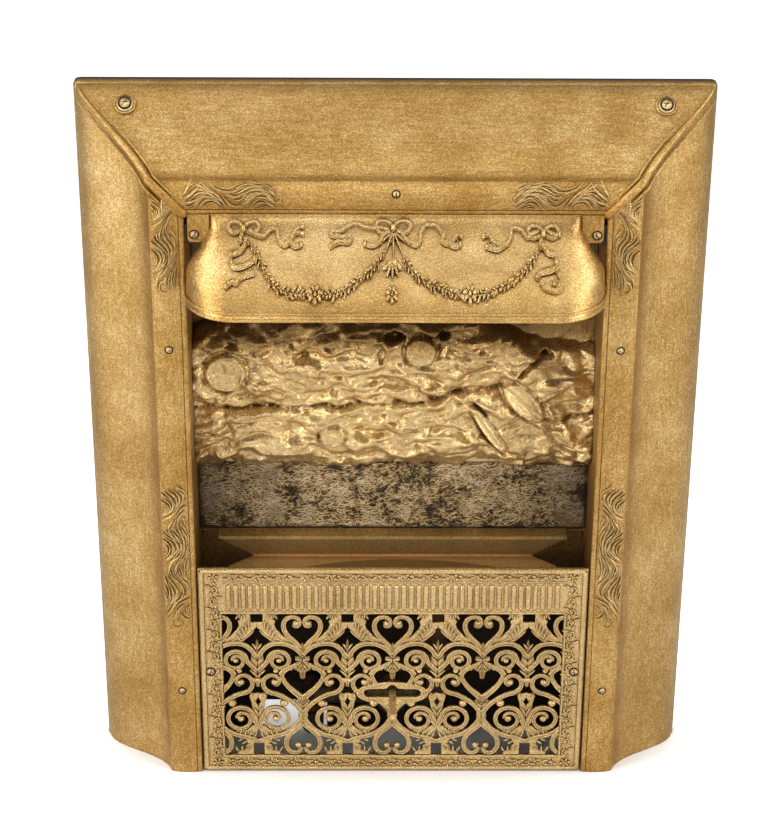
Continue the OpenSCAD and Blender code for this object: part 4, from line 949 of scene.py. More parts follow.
def hood_place(x, z, lift):
    """A place above the hood's front."""
    y = hood_y(x, z)
    slope_x = hood_y(x + 0.5, z) - hood_y(x - 0.5, z)
    slope_z = hood_y(x, z + 0.5) - hood_y(x, z - 0.5)
    out = Vector((slope_x, -1, slope_z)).normalized() * lift
    return x + out.x, y + out.y, z + out.z


class HEARTH_OT_hood(bpy.types.Operator):
    """Builds the flared hood with its ears and its double rolled rim"""
    bl_idname = "hearth.hood"
    bl_label = "Hood"

    def execute(self, context):
        top, tall = hood_span()
        side, arc, front = 8, 26, 110
        columns = 2 * (side + arc) + front

        def outline(i, t):
            wide, reach, corner_w, corner_d = hood_outline(t)
            k = min(i, columns - i)
            if k <= side:
                x, y = -wide, -(reach - corner_d) * k / side
            elif k <= side + arc:
                a = math.radians(180 - 90 * (k - side) / arc)
                x = -wide + corner_w + corner_w * math.cos(a)
                y = -(reach - corner_d) - corner_d * math.sin(a)
            else:
                share = (k - side - arc) / (front / 2)
                x, y = -(wide - corner_w) * (1 - share), -reach
            return (x if i * 2 <= columns else -x), HOOD_BACK + y

        def place(u, v):
            t = 1 - v
            x, y = outline(round(u * columns), t)
            dent = 0.5 * bumps(x, y, t * 80, 40, 2) * smooth(t * 4) * smooth((1 - t) * 9)
            return x, y - dent, top - tall * t

        shell = grid("flared_hood", columns, 64, place)
        modify(shell, "SOLIDIFY", thickness=2 * MM, offset=-1)
        finished(shell, "hood_gold", 40, "hood")

        rims = []
        for level, size, out in ((1.0, 1.8, -0.8), (0.925, 1.3, 0.8)):
            points = []
            for i in range(columns + 1):
                x, y = outline(i, level)
                centre = Vector((x, y - HOOD_BACK, 0))
                centre += centre.normalized() * out
                points.append((centre.x, centre.y + HOOD_BACK, top - tall * level + 0.2))
            rims.append(bar(points, size))
        rims.append(bar([(HOOD_NECK * (k / 15 - 1), -86.2, top + 0.3) for k in range(31)],
                        0.9))
        rim = strokes("hood_rolled_rim", rims, lambda a, b, c: (a, max(b, -160), c), sides=3)
        finished(rim, "hood_gold", 60, "hood")

        ear = ((182, 650.2), (203.5, 650.2), (203.5, 624), (201, 621.2), (187, 620.6),
               (182, 616))
        ears = plates("hood_ears", [[[(sign * a, b) for a, b in ear]] for sign in (-1, 1)],
                      1.6, 0.5, upright(-82.8))
        finished(ears, "side_gold", 40, "hood")
        return {"FINISHED"}


class HEARTH_OT_screw_gaps(bpy.types.Operator):
    """Lays the dark gaps round the slotted screw heads and in their slots: a painted shadow,
    with grime where the brush did not reach
    """
    bl_idname = "hearth.screw_gaps"
    bl_label = "Screw gaps"

    def execute(self, context):
        on_moulding = moulding_place(surround_profile())
        # the head's radius, then the slot's half length, its half width and its height
        large, grille = (4.5, 3.3, 0.62, 1.6), (4.8, 3.3, 0.62, 1.0)
        small = (3.9, 2.4, 0.45, 1.25)
        for name, node, place, (r, half, wide, lift), screws in (
                ("hood_screw_gaps", "hood", upright(-83.8), large,
                 ((-197, 629, 60), (197, 629, 120))),
                ("grille_screw_gaps", "grille", upright(-84.9), grille,
                 ((-194.6, 127, 75), (194.6, 127, 105))),
                ("top_panel_screw_gaps", "top_panel", on_moulding, small, ((0, 673, 90),)),
                ("left_panel_screw_gaps", "left_panel", on_moulding, small,
                 ((-225.5, 105, -30), (-225.5, 507, -30))),
                ("right_panel_screw_gaps", "right_panel", on_moulding, small,
                 ((225.5, 105, 30), (225.5, 507, 30)))):
            lines = []
            for x, z, turn in screws:
                slot = [polar(x, z, k, turn) + (lift,) for k in (-half, 0, half)]
                lines += [bar(circle(r, 24, 0, x, z), 0.6), bar(slot, wide)]
            finished(strokes(name, lines, place, sides=1), "shadow_in_gaps", 60, node)
        return {"FINISHED"}


def ribbon(points, wide, per=6):
    """A flat ribbon with two raised edges."""
    line = through(points, per)
    lines = []
    for side in (-1, 0, 1):
        moved = []
        for i, (x, y) in enumerate(line):
            ux, uy = heading(line, i)
            moved.append((x - side * uy * wide, y + side * ux * wide, 0.45 if side else -0.1))
        lines.append(taper(moved, 0.6 if side else wide * 1.05, 0.45 if side else wide * 0.8))
    return lines


def garland(points, rng, small, large):
    """Two thin stems with leaves and berries on both sides, thicker towards the end."""
    line = through(points, 8)
    last = len(line) - 1
    lines = [taper([(x, y + 0.9) for x, y in line], 0.7, 0.8),
             taper([(x, y - 0.9) for x, y in line], 0.6, 0.8)]
    step = 0
    i = 1
    while i < last:
        x, y = line[i]
        dx, dy = line[i + 1][0] - x, line[i + 1][1] - y
        angle = math.degrees(math.atan2(dy, dx))
        t = i / last
        size = small + (large - small) * t
        side = 1 if step % 2 else -1
        lines.append(leaf((x, y), angle + side * (24 + 44 * rng.random()),
                          size * (0.5 + 0.8 * rng.random()), 0.8 + 0.9 * rng.random() * t,
                          -side * 40 * rng.random(), 0.3 + 0.9 * rng.random()))
        if step % 2:
            berry = polar(x, y, size * 0.6, angle - side * 60 * rng.random())
            lines.append(ball(*berry, 0.7 + 0.9 * t * rng.random()))
        step += 1
        i += max(1, round(last * 2.2 / max(10, math.dist(points[0][:2], points[-1][:2]))))
    return lines


def rosette(x, y, r, petals=7):
    """A small open flower."""
    lines = [ball(x, y, r * 0.32)]
    for k in range(petals):
        angle = 360 * k / petals + 11
        lines.append(leaf(polar(x, y, r * 0.25, angle), angle, r * 0.8, r * 0.25, 12, 0.5))
    return lines


# The swags between the bows, then the ribbons' ends, each as points on the hood's front.
SWAGS = [
    [(-144.5, 625), (-132.5, 613.1), (-124.5, 603.4), (-113.6, 594.6), (-96, 591.4),
     (-82, 591)],
    [(-9.7, 618.2), (-20.4, 609.1), (-32.9, 601.6), (-48.2, 594.6), (-62, 590.6),
     (-74, 591)],
    [(6.7, 613.3), (16.8, 605.1), (30.7, 599), (45.1, 595.2), (57.5, 591.4),
     (67, 591.4)],
    [(139.6, 619.8), (130.5, 610.5), (118.6, 603.2), (105.8, 597.4), (90, 592.2),
     (75, 591.4)],
]
TAILS = [
    [(-143, 633), (-137, 629), (-128.4, 627.4), (-124.8, 630.4), (-120.4, 633.6),
     (-115.6, 633), (-114.6, 628.6), (-113.1, 623.6), (-108.3, 621.2), (-103, 623.2),
     (-100.5, 627.7), (-96.2, 630.4), (-90.8, 629.6)],
    [(-103, 623.2), (-98, 620.4), (-92, 621.6)],
    [(-99.5, 629), (-95.7, 633.6), (-91, 634.8)],
    [(-7.2, 633), (-15.7, 634.4), (-22.9, 634.4), (-30.2, 635.4), (-36.3, 638),
     (-42.3, 638), (-47.7, 635.4), (-54.5, 631.3), (-61.3, 631.8), (-62.2, 628.6),
     (-54.5, 626.8), (-44.8, 627.2), (-45.7, 623.2), (-54.5, 623.4), (-63, 620.8)],
    [(-6, 631.3), (-12, 628.6), (-15.7, 623.2), (-22.9, 621.1), (-30.2, 622.3)],
    [(1, 632), (5.4, 630), (9.8, 625), (18.3, 621.5), (23.1, 624), (24.3, 631),
     (29.2, 637), (37.7, 637), (42.5, 633.1), (46.2, 628.6), (45, 623.8), (51, 622.3),
     (56, 625), (59.5, 628.6), (63, 628)], [(51, 622.3), (57, 620.5), (62, 621.8)],
    [(139, 632), (132.2, 629.4), (127.4, 627), (121.3, 633.4), (112.9, 634.4),
     (111.6, 628.6), (108, 622.3), (100.7, 621.5), (93.5, 624.1), (91, 628.6),
     (85, 627.8)], [(105, 621), (98, 618.8), (88, 620.5)],
    [(146.8, 632.2), (154, 628.6), (159, 629.5)],
    [(141, 622), (147, 617), (153.5, 615.5), (155, 611.5)],
    [(134.7, 601.7), (139.5, 605.3), (148, 606.6), (154, 607.6), (157, 604.4)],
    [(139.5, 600), (144, 596), (149.8, 594.2), (155, 593.7), (158.9, 596.5),
     (152, 598.8)],
    [(-145, 626), (-147, 620), (-151.4, 617), (-160, 615.3)],
    [(-160, 612.6), (-157.5, 608.6), (-146.6, 608.8), (-136.9, 612.5)],
    [(-136.9, 605.3), (-149, 602.6), (-153.9, 598.6), (-158, 599.5), (-163.6, 596.4)],
]


class HEARTH_OT_festoon(bpy.types.Operator):
    """Draws the pressed festoons, bows and drape on the hood's front"""
    bl_idname = "hearth.festoon"
    bl_label = "Festoon"

    def execute(self, context):
        rng = random.Random(11)
        lines = []
        bow = ((0, 0), (4, 4.6), (10, 5.4), (13, 1.2), (9, -3.2), (3, -1.8), (0, 0))
        for x, y, size in ((-147.8, 633.7, 1.15), (-2.6, 634.5, 1.3), (143.2, 630.2, 1.15)):
            for side in (-1, 1):
                lines += ribbon([(x + side * a * size, y + b * size) for a, b in bow], 1.5)
            lines.append(ball(x, y, 2.7 * size))
            lines += ribbon([(x - 1, y - 2), (x - 3, y - 8), (x - 2, y - 12)], 1.1)
        for swag in SWAGS:
            lines += garland(swag, rng, 4.2, 7.2)
        for x, y, r in ((-78, 591, 7.6), (71, 591.4, 7.6), (-4, 591.2, 6.6)):
            lines += rosette(x, y, r)
        for tail in TAILS:
            lines += ribbon(tail, 1.6)
            lines.append(ball(tail[-1][0], tail[-1][1], 2.1))
        for k in range(7):
            lines.append(leaf((-2.6, 632), 200 + 23.5 * k,
                              15 + 5 * math.sin(math.pi * k / 6), 1.1, (3 - k) * -9, 0.4))
        for k in range(5):
            lines.append(leaf((-3.4, 612), 215 + 27.5 * k, 11, 1.5, (2 - k) * -10, 0.5))
        lines = [(points, [r * 1.4 for r in radii]) for points, radii in lines]
        piece = strokes("hood_festoon", lines,
                        lambda a, b, c: hood_place(a, b + 4.5 * smooth((b - 596) / 28),
                                                   1.6 * c + 1.3), sides=1)
        finished(piece, "raised_gold", 60, "hood")
        return {"FINISHED"}


# ---------------------------------------------------------------- logs and fibre

# Forms in the bark, as x and z, their size, their turn in degrees or their other end, and
# last how high or how deep they are. Then the heights of the crevice and of the top edge.
KNOTS = ((-173, 460, 19.5, 19, 3.0), (27, 484, 15, 14, 3.0), (-63.5, 387, 12, 10, 2.2))
FACETS = ((134, 426, 27, 10.5, -44, 3.5), (98, 395, 29, 5.5, -56, 3.0))
SLITS = ((126, 452, 158, 481, 2.4, 9), (60, 470, 84, 462, 1.8, 3))
PITS = ((0, 498, 11, 5, 16), (50, 499, 6.5, 6, 16), (-95, 476, 8, 6, 4), (-46, 486, 8, 6, 4),
        (158, 476, 7, 3, 7), (-13, 480, 4, 8, 5))
CREVICE = ((-207, 418), (-113, 418), (-62, 421), (21, 425), (70, 438), (112, 444),
           (130, 436), (150, 408), (164, 401), (207, 414))
TOP_EDGE = ((-207, 502), (-150, 520), (70, 520), (112, 503), (136, 490), (207, 485))
LOG_FOOT = 343.0


def log_body(x, z):
    """Height of the two round logs without their bark, and how far off their edges."""
    s = sizes()
    crevice = lookup(x, CREVICE) + 4 * bumps(x, 3, 0, 22, 3)
    top = lookup(x, TOP_EDGE) + 5 * bumps(x, 9, 0, 20, 2)
    foot = LOG_FOOT + 1.5 + 6 * bumps(x, 5, 0, 15, 3)
    if z < crevice:
        t = (z - foot) / (crevice - foot)
        high, kept = 0.92, 0.72 if t > 0.5 else 0
    else:
        t = (z - crevice) / (top - crevice)
        high, kept = 0.9 - 0.0016 * max(0, x - 110), 0.82 if t < 0.5 else 0
    q = abs(2 * t - 1)
    bulge = (1 - q ** 2.4) ** 0.55 if q < 1 else 0.0
    gap = 2.4 * ridge(z, crevice, 2.6)
    return s["logs_reach"] * high * (kept + (1 - kept) * bulge) - gap


def log_height(x, z):
    """How far the casting stands out from its plate."""
    warp_x = x + 10 * bumps(x, z, 11, 40, 2)
    warp_z = z + 6 * bumps(x, z, 5, 30, 2)
    body = log_body(x, z)
    live = smooth(body / 9)
    lumps = bumps(warp_x / 1.5, 1, warp_z, 24, 2)
    swells = bumps(warp_x / 1.6, 21, warp_z, 12, 2)
    fold = 1 - abs(bumps(warp_x / 2.6, 4, warp_z, 13, 1)) * 5
    ripple = bumps(warp_x / 1.4, 9, warp_z, 5.5, 2)
    out = body + (0.25 + 0.75 * live) * (7.5 * lumps + 5.0 * swells + 1.1 * ripple
                                         - 1.5 * smooth(fold)) + 0.3 * bumps(x, 8, z, 2.8, 1)
    for cx, cz, rx, rz, rise in KNOTS:
        q = math.hypot((x - cx) / rx, (z - cz) / rz)
        if q < 1.7:
            disc = log_body(cx, cz) + rise - 0.05 * (z - cz) + 1.6 * bumps(x, 2, z, 7)
            inside = 1 - smooth((q - 0.96) / 0.22)
            out = ((out - 2.4 * ridge(q, 1.18, 0.15)) * (1 - inside)
                   + (disc + 1.2 * ridge(q, 0.93, 0.07)) * inside)
    for cx, cz, long_r, short_r, turn, rise in FACETS:
        a = math.radians(turn)
        p = (x - cx) * math.cos(a) + (z - cz) * math.sin(a)
        q = -(x - cx) * math.sin(a) + (z - cz) * math.cos(a)
        r = math.hypot(p / long_r, q / short_r)
        if r < 1.6:
            face = 27 + rise - q * 0.45 + 1.6 * ridge(r, 0.94, 0.08)
            if r < 0.85:
                face += 1.3 * ridge(q, short_r * 0.2, 0.8)
            inside = 1 - smooth((r - 0.95) / 0.22)
            out = (out - 3.5 * ridge(r, 1.25, 0.2)) * (1 - inside) + face * inside
    for x0, z0, x1, z1, wide, deep in SLITS:
        along = Vector((x1 - x0, z1 - z0))
        size = along.length
        along /= size
        p = (x - x0) * along.x + (z - z0) * along.y
        q = -(x - x0) * along.y + (z - z0) * along.x
        if 0 < p < size:
            out -= deep * ridge(q, 0, wide) * smooth(p / 5) * smooth((size - p) / 5)
    for cx, cz, rx, rz, deep in PITS:
        q = math.hypot((x - cx + 2 * bumps(x, z, 1, 7)) / rx, (z - cz) / rz)
        out -= deep * (1 - smooth((q - 0.6) / 0.6))
    return max(0.3, min(37.0, out))


class HEARTH_OT_logs(bpy.types.Operator):
    """Builds the cast imitation logs on their plate"""
    bl_idname = "hearth.logs"
    bl_label = "Logs"

    def execute(self, context):
        s = sizes()
        half = 206.4
        low, tall = 343.6, s["logs_height"] + 36

        def place(u, v):
            x = (2 * u - 1) * half
            z = low + v * tall
            return x, -12 - log_height(x, z), z

        bark = grid("log_bark", 330, 150, place)
        modify(bark, "SOLIDIFY", thickness=2.4 * MM, offset=-1)
        finished(bark, "log_gold", 75, "log_fireback")

        outline = [(-half, low + 1), (half, low + 1), (half, 594), (half - 6, 600),
                   (-half + 6, 600), (-half, 594)]
        plate = plates("log_plate", [[outline]], 6, 0.8, upright(-9))
        finished(plate, "plate_gold", 40, "log_fireback")
        return {"FINISHED"}


class HEARTH_OT_fibre(bpy.types.Operator):
    """Builds the pad of mineral fibre with its loose strands"""
    bl_idname = "hearth.fibre"
    bl_label = "Fibre pad"

    def execute(self, context):
        half, low, tall, face = 206.7, 264.3, 79.0, 15.2
        rng = random.Random(5)

        def surface(x, z):
            edge = smooth(min(z - low, low + tall - z) / 5) * smooth((half - abs(x)) / 4)
            fuzz = 1.2 * bumps(x, 2, z, 15, 4) + 0.7 * bumps(x, 6, z, 4, 2)
            return face - 2.6 * (1 - edge) + fuzz * edge

        def place(u, v):
            x, z = (2 * u - 1) * half, low + v * tall
            return x, -min(surface(x, z), 16.2), z

        pad = grid("fibre_pad", 280, 64, place)
        modify(pad, "SOLIDIFY", thickness=11 * MM, offset=-1)
        finished(pad, "fibre", 80, "fibre_strip")

        lines = []
        for _ in range(context.scene.insert_sizes.strands):
            x = rng.uniform(-half + 2, half - 2)
            z = low + 1 + rng.random() ** 0.9 * (tall - 2)
            angle = rng.gauss(0, 0.5) + rng.choice((0, math.pi))
            size = rng.uniform(6, 18)
            curl = rng.uniform(-1.7, 1.7)
            points = []
            rise = 0.2 + 1.3 * rng.random()
            for k in range(6):
                t = k / 5
                points.append((x, z, rise * (0.4 + 0.6 * math.sin(math.pi * t))))
                x += size / 5 * math.cos(angle)
                z += size / 5 * math.sin(angle)
                angle += curl / 5
            if all(abs(p[0]) < half and low + 0.4 < p[1] < low + tall - 0.4 for p in points):
                thick = rng.uniform(0.24, 0.42)
                lines.append((points, [0.2, thick, thick, thick, thick, 0.15]))
        # a few loose fibres that have dropped on the burner
        for x0, x1, bend in ((-57, -54, 2.0), (28, 34, 1.5), (94, 111, -1.0)):
            lines.append(([(x0 + (x1 - x0) * k / 4, 268 + bend * (k - 2) * 0.8, 4.5)
                           for k in range(5)], [0.3, 0.4, 0.4, 0.4, 0.2]))
        threads = strokes("fibre_strands", lines,
                          lambda a, b, c: (a, -min(surface(a, b) + c, 17.2), b), sides=0)
        finished(threads, "fibre_ends", 80, "fibre_strip")
        return {"FINISHED"}


# ---------------------------------------------------------------- grille

# Half widths, heights and low edges of the grille, its scrollwork and the lever's slot.
GRILLE_HALF, GRILLE_TALL = 205.3, 254.0
FIELD_X, FIELD_LOW, FIELD_TALL = 181.0, 20.5, 178.0
SLOT_Z, SLOT_HALF, SLOT_TALL = 100.0, 30.5, 9.6


def fan(count, x, y, angle, size, width, bend, lift):
    """Leaves side by side. Where each starts, its angle and its size are given as a first
    value and a step."""
    return [leaf((x[0] + x[1] * k, y[0] + y[1] * k), angle[0] + angle[1] * k,
                 size[0] + size[1] * k, width, bend, lift) for k in range(count)]


def half_repeat(p):
    """Bars and leaves of half a repeat: (bars, leaf outlines, veins)."""
    bars = [
        sweep([(0.3, 134), (8, 147), (20, 152), (19.8, 165)], 8, 2.5, 2.5),
        sweep([(19.8, 164), (20, 177.5), (2.6, 178.5), (2.3, 168)], 10, 2.5, 2.0),
        sweep([(2.3, 168.5), (2.4, 161.5), (8.6, 161.4), (9, 165.6)], 6, 2.0, 1.6),
        ball(6.6, 166.8, 3.5),
        sweep([(0, 128), (8, 139), (16, 142.6), (27, 142.3)], 8, 2.5, 2.5),
        sweep([(26.5, 142.3), (36, 142), (42, 136), (p - 0.5, 125)], 8, 2.5, 2.4),
        sweep([(p - 0.5, 108), (44, 112), (40.5, 116), (36.8, 120.5)], 6, 2.5, 2.5),
        taper(spiral((25, 120.5), 11.8, 3.2, -5, 540, 1.9, 40), 2.5, 1.6),
        ball(25, 120.5, 3.3), ball(28.5, 107.5, 3.3),
        sweep([(0, 50), (3, 64), (17, 74), (29.5, 79.2)], 10, 2.5, 2.5),
        taper(spiral((31.2, 93.6), 14.5, 4, -97, 250, 0.9, 26), 2.5, 1.8),
        ball(30, 93, 4.0), ball(p - 1.5, 96, 3.2),
        sweep([(3, 118), (12, 111), (20, 112), (23, 103)], 8, 2.0, 3.0),
        sweep([(22.5, 104), (20, 88), (10, 84), (0, 73)], 8, 2.0, 3.4),
        ball(0, 134, 3.8), ball(0, 73, 5.6),
        sweep([(p - 0.3, 35), (46, 42), (44.5, 47), (42, 53)], 6, 2.5, 2.5),
        taper(spiral((29.2, 46.7), 14.8, 4, 24, 530, 2, 40), 2.5, 1.7),
        ball(29, 46.7, 4.0), ball(20.2, 66.6, 4.6),
        sweep([(0.2, 51), (5.5, 38), (15, 28), (29, 25)], 10, 2.5, 2.5),
        sweep([(28.5, 25), (37, 24), (43, 20.5), (p, 17.8)], 8, 2.5, 2.4),
        sweep([(0.3, 41), (8, 32), (18.8, 28), (18.6, 15)], 10, 2.5, 2.5),
        sweep([(18.6, 16), (18.6, 0), (2.6, 0), (2.2, 10.5)], 10, 2.5, 2.0),
        ball(5.6, 12.6, 3.7),
    ]
    outlines = [
        [[(24, 180), (41.6, 180), (41.6, 167.6), (p, 167.6), (p, 161.6), (44, 157.5),
          (38.5, 149.5), (34, 144), (10, 138), (10, 145), (21, 151.5), (27.5, 159),
          (29.5, 165), (28, 169), (31, 172)]],
        [[(0, 125), (7.5, 124.5), (8, 121), (4, 118), (6.8, 107.5), (3.6, 106),
          (2.4, 98), (0, 97)]],
        [[(0, 76), (5, 71), (9, 68.5), (9.5, 64), (7, 61), (4, 58), (5.6, 50), (3, 40),
          (0, 36)]],
        [[(p, 146.5), (46.8, 143), (45.5, 134), (41.5, 130), (42.5, 124), (38.5, 118),
          (43.5, 112), (40.5, 106), (45.6, 101), (46, 88), (p, 86.5)]],
        [[(p, 79.5), (44, 78), (40, 80), (38.4, 75), (40.5, 68), (42, 58), (44.5, 50),
          (46, 36), (p, 34), (p, 59.8), (p - 0.4, 59.8), (45.6, 64), (45, 67.5),
          (p - 0.5, 72.5), (p, 72.5)]],
        [[(23.5, 31), (24, 26.5), (40, 22), (p, 18.5), (p - 4.8, 25.3), (p, 31.8), (p, 37),
          (42, 38), (36, 32.5)]],
        [[(33, 25), (42, 21.5), (p, 20.6), (p, 14.8), (42.6, 14.8), (42.6, 0), (24, 0),
          (27.5, 5.5), (32.5, 6), (34, 10), (36, 14), (33.5, 19)]],
    ]
    veins = [
        # fan of leaves that frames the square gap
        *fan(5, (31, 2.4), (146, 3.6), (128, -6), (11, 0), 1.35, -24, 0.5),
        sweep([(12, 141), (24, 145), (34, 152), (38, 164)], 8, 1.2, 0.8),
        sweep([(14, 139.5), (28, 142), (40, 149), (45, 158)], 8, 1.1, 0.8),
        *(leaf((26 + 3.6 * k, 172 + 1.6 * (k % 2)), 60 + 20 * k, 6, 1.2, 10, 0.4)
          for k in range(4)),
        # upper palmette, opening upwards from its foot
        *fan(6, (p, 0), (92, 8.4), (128, -3), (12.5, -0.7), 1.5, 26, 0.6),
        leaf((p, 130), 90, 16, 1.7, 0, 0.6),
        # lower palmette
        *fan(4, (p, 0), (37, 7.5), (126, -6), (12, 0), 1.4, 22, 0.6),
        *fan(3, (40, 1.5), (74, 0), (80, 22), (5.5, 0), 1.2, 0, 0.4),
        # pendant and knot on the heart's axis
        leaf((0, 118), 270, 21, 1.9, 0, 0.8),
        *fan(3, (0.5, 0), (121, -4.5), (-42, -12), (8.5, 0), 1.4, -20, 0.5),
        bar([(-0.5, 122), (7.6, 122.6)], 1.6),
        *fan(4, (0.3, 0), (68, -5), (46, -8), (9.5, -1.4), 1.4, 18, 0.5),
        leaf((0, 60), 270, 22, 1.8, 0, 0.6),
        ball(0, 126, 2.6),
        leaf((0, 134), 90, 9, 1.8, 0, 0.6),
        # leaf that rides on the lower bar
        *fan(4, (27, 5), (26.5, -1.2), (62, -4), (9, 0), 1.3, 30, 0.5),
        *fan(4, (31, 3.6), (21, -3.2), (200, 8), (6.5, 0), 1.2, 20, 0.4),
        *fan(3, (26, 4), (4.5, 0), (120, -28), (7, 0), 1.2, 0, 0.4),
        # nicks along the leaves beside the pendant
        *fan(4, (6, 4), (114, -0.8), (-58, 0), (6, 0), 1.1, -20, 0.4),
        *fan(4, (21, -3.5), (96, -4.5), (20, 0), (5.5, 0), 1.1, 20, 0.4),
    ]
    return bars, outlines, veins


def slot_outline(grow):
    """Outline of the lever's slot, with a notch above its middle."""
    end = SLOT_TALL / 2 + grow
    straight = SLOT_HALF - SLOT_TALL / 2
    line = []
    for x, z, r, start, step in (
            (straight, SLOT_Z, end, -90, 22.5),
            (0, SLOT_Z + SLOT_TALL / 2, SLOT_TALL * 0.55 + grow, 18, 18),
            (-straight, SLOT_Z, end, 90, 22.5)):
        line += [polar(x, z, r, start + step * k) for k in range(9)]
    return line


def channelled(lines):
    """The same bars with a raised ridge along both edges. Bosses start at no radius, and
    stay as they are."""
    made = []
    for points, radii in lines:
        if radii[0] == 0:
            made.append((points, radii))
            continue
        made.append((points, [r * 0.92 for r in radii]))
        for side in (-1, 1):
            moved = []
            for i, (x, y) in enumerate(points):
                ux, uy = heading(points, i)
                reach = side * radii[i] * 0.72
                moved.append((x - uy * reach, y + ux * reach, radii[i] * 0.78))
            made.append((moved, [r * 0.34 for r in radii]))
    return made


def clear_of_slot(lines):
    """The same bars without what would cross the lever's slot."""
    kept = []
    for points, radii in lines:
        run = []
        for point, radius in list(zip(points, radii)) + [(None, 0)]:
            if point and not (abs(point[0]) < SLOT_HALF + 1
                              and abs(point[1] + FIELD_LOW - SLOT_Z) < SLOT_TALL / 2 + 2):
                run.append((point, radius))
                continue
            if len(run) > 1:
                kept.append(([p for p, _ in run], [r for _, r in run]))
            run = []
    return kept


def rectangle(x0, y0, x1, y1, steps):
    """The four sides of a rectangle, each a line of its own."""
    corners = [(x0, y0), (x1, y0), (x1, y1), (x0, y1), (x0, y0)]
    return [[(a0 + (a1 - a0) * k / steps, b0 + (b1 - b0) * k / steps)
             for k in range(steps + 1)]
            for (a0, b0), (a1, b1) in zip(corners, corners[1:])]


class HEARTH_OT_grille(bpy.types.Operator):
    """Builds the grille's frame, its reeds and its foliate border"""
    bl_idname = "hearth.grille"
    bl_label = "Grille"

    def execute(self, context):
        s = sizes()
        w, h = GRILLE_HALF, GRILLE_TALL
        x, z0, z1 = FIELD_X, FIELD_LOW, FIELD_LOW + FIELD_TALL
        outer = [(-w, 0), (w, 0), (w, h), (-w, h)]
        hole = [(-x, z0), (-x, z1), (x, z1), (x, z0)]
        frame_plate = plates("grille_frame", [[outer, hole]], 4, 0.7, upright(-82.5))
        finished(frame_plate, "grille_gold", 40, "grille")

        lines = []
        for inset, size in ((3.4, 2.9), (6.9, 0.8)):
            for points in rectangle(inset - w, inset, w - inset, h - inset, 40):
                lines.append((points, [size * (1 + 0.05 * bumps(p[0], 1, p[1], 9))
                                       for p in points]))
        grow = 1.7
        lines += [bar(points, 1.5) for points in
                  rectangle(-x - grow, z0 - grow, x + grow, z1 + grow, 20)]
        for level, size in ((238.2, 1.1), (236.3, 0.7)):
            lines.append(bar([(-x + 2 + 362 * k / 40, level) for k in range(41)], size))
        rims = strokes("grille_rims", lines, upright(-84.5), sides=3, flat=0.62)
        finished(rims, "grille_gold", 60, "grille")

        rng = random.Random(3)
        count = int((2 * x - 6) / s["reed_pitch"])
        reeds = []
        for k in range(count):
            a = (k - (count - 1) / 2) * s["reed_pitch"] + rng.uniform(-0.3, 0.3)
            wide = s["reed_pitch"] * rng.uniform(0.35, 0.40)
            reeds.append(([(a, 204.4), (a, 205.2), (a, 207), (a, 219), (a, 231), (a, 233.4),
                           (a, 234.4)],
                          [wide * share for share in (0.5, 0.85, 1, 1, 1, 0.85, 0.4)]))
            reeds.append(ball(a, 202.0, 1.5))
        piece = strokes("grille_reeds", reeds, upright(-84.5), sides=3, flat=0.7)
        finished(piece, "grille_gold", 60, "grille")

        border = []

        def run(x0, y0, x1, y1, wide):
            """Running scrolls with leaves between them."""
            size = math.hypot(x1 - x0, y1 - y0)
            cells = max(2, 2 * round(size / 26))
            step = size / cells
            ax, ay = (x1 - x0) / size, (y1 - y0) / size
            for k in range(cells):
                side = 1 if k % 2 else -1
                cx, cy = x0 + ax * (k + 0.5) * step, y0 + ay * (k + 0.5) * step
                base = math.degrees(math.atan2(ay, ax))
                r = wide * 0.36
                line = spiral((cx, cy), r, r * 0.25, base + side * 200,
                              base + side * 560, 1, 12)
                border.append(taper(line, 1.35, 0.95))
                border.append(ball(cx, cy, 1.6))
                for turn, reach in ((40, 0.62), (-30, 0.5), (140, 0.45), (205, 0.42)):
                    foot = polar(cx, cy, r * 0.9, base + side * turn)
                    border.append(leaf(foot, base + side * (turn + 24), wide * reach, 1.4,
                                       side * 40, 0.3))
        run(-x - 8.2, 18, -x - 8.2, 236, 12)
        run(x + 8.2, 18, x + 8.2, 236, 12)
        run(-x + 2, 244.6, x - 2, 244.6, 9.5)
        run(-x + 2, 11.0, x - 2, 11.0, 10.5)
        for side in (-1, 1):
            for level in (244, 11):
                border.extend(rosette(side * (x + 8.2), level, 6, 6))
        border = [(points, radii) for points, radii in border
                  if all(math.hypot(abs(p[0]) - 194.5, p[1] - 127) > 6.5 for p in points)]
        piece = strokes("grille_border", border, upright(-84.9), sides=1)
        finished(piece, "raised_gold", 60, "grille")
        return {"FINISHED"}


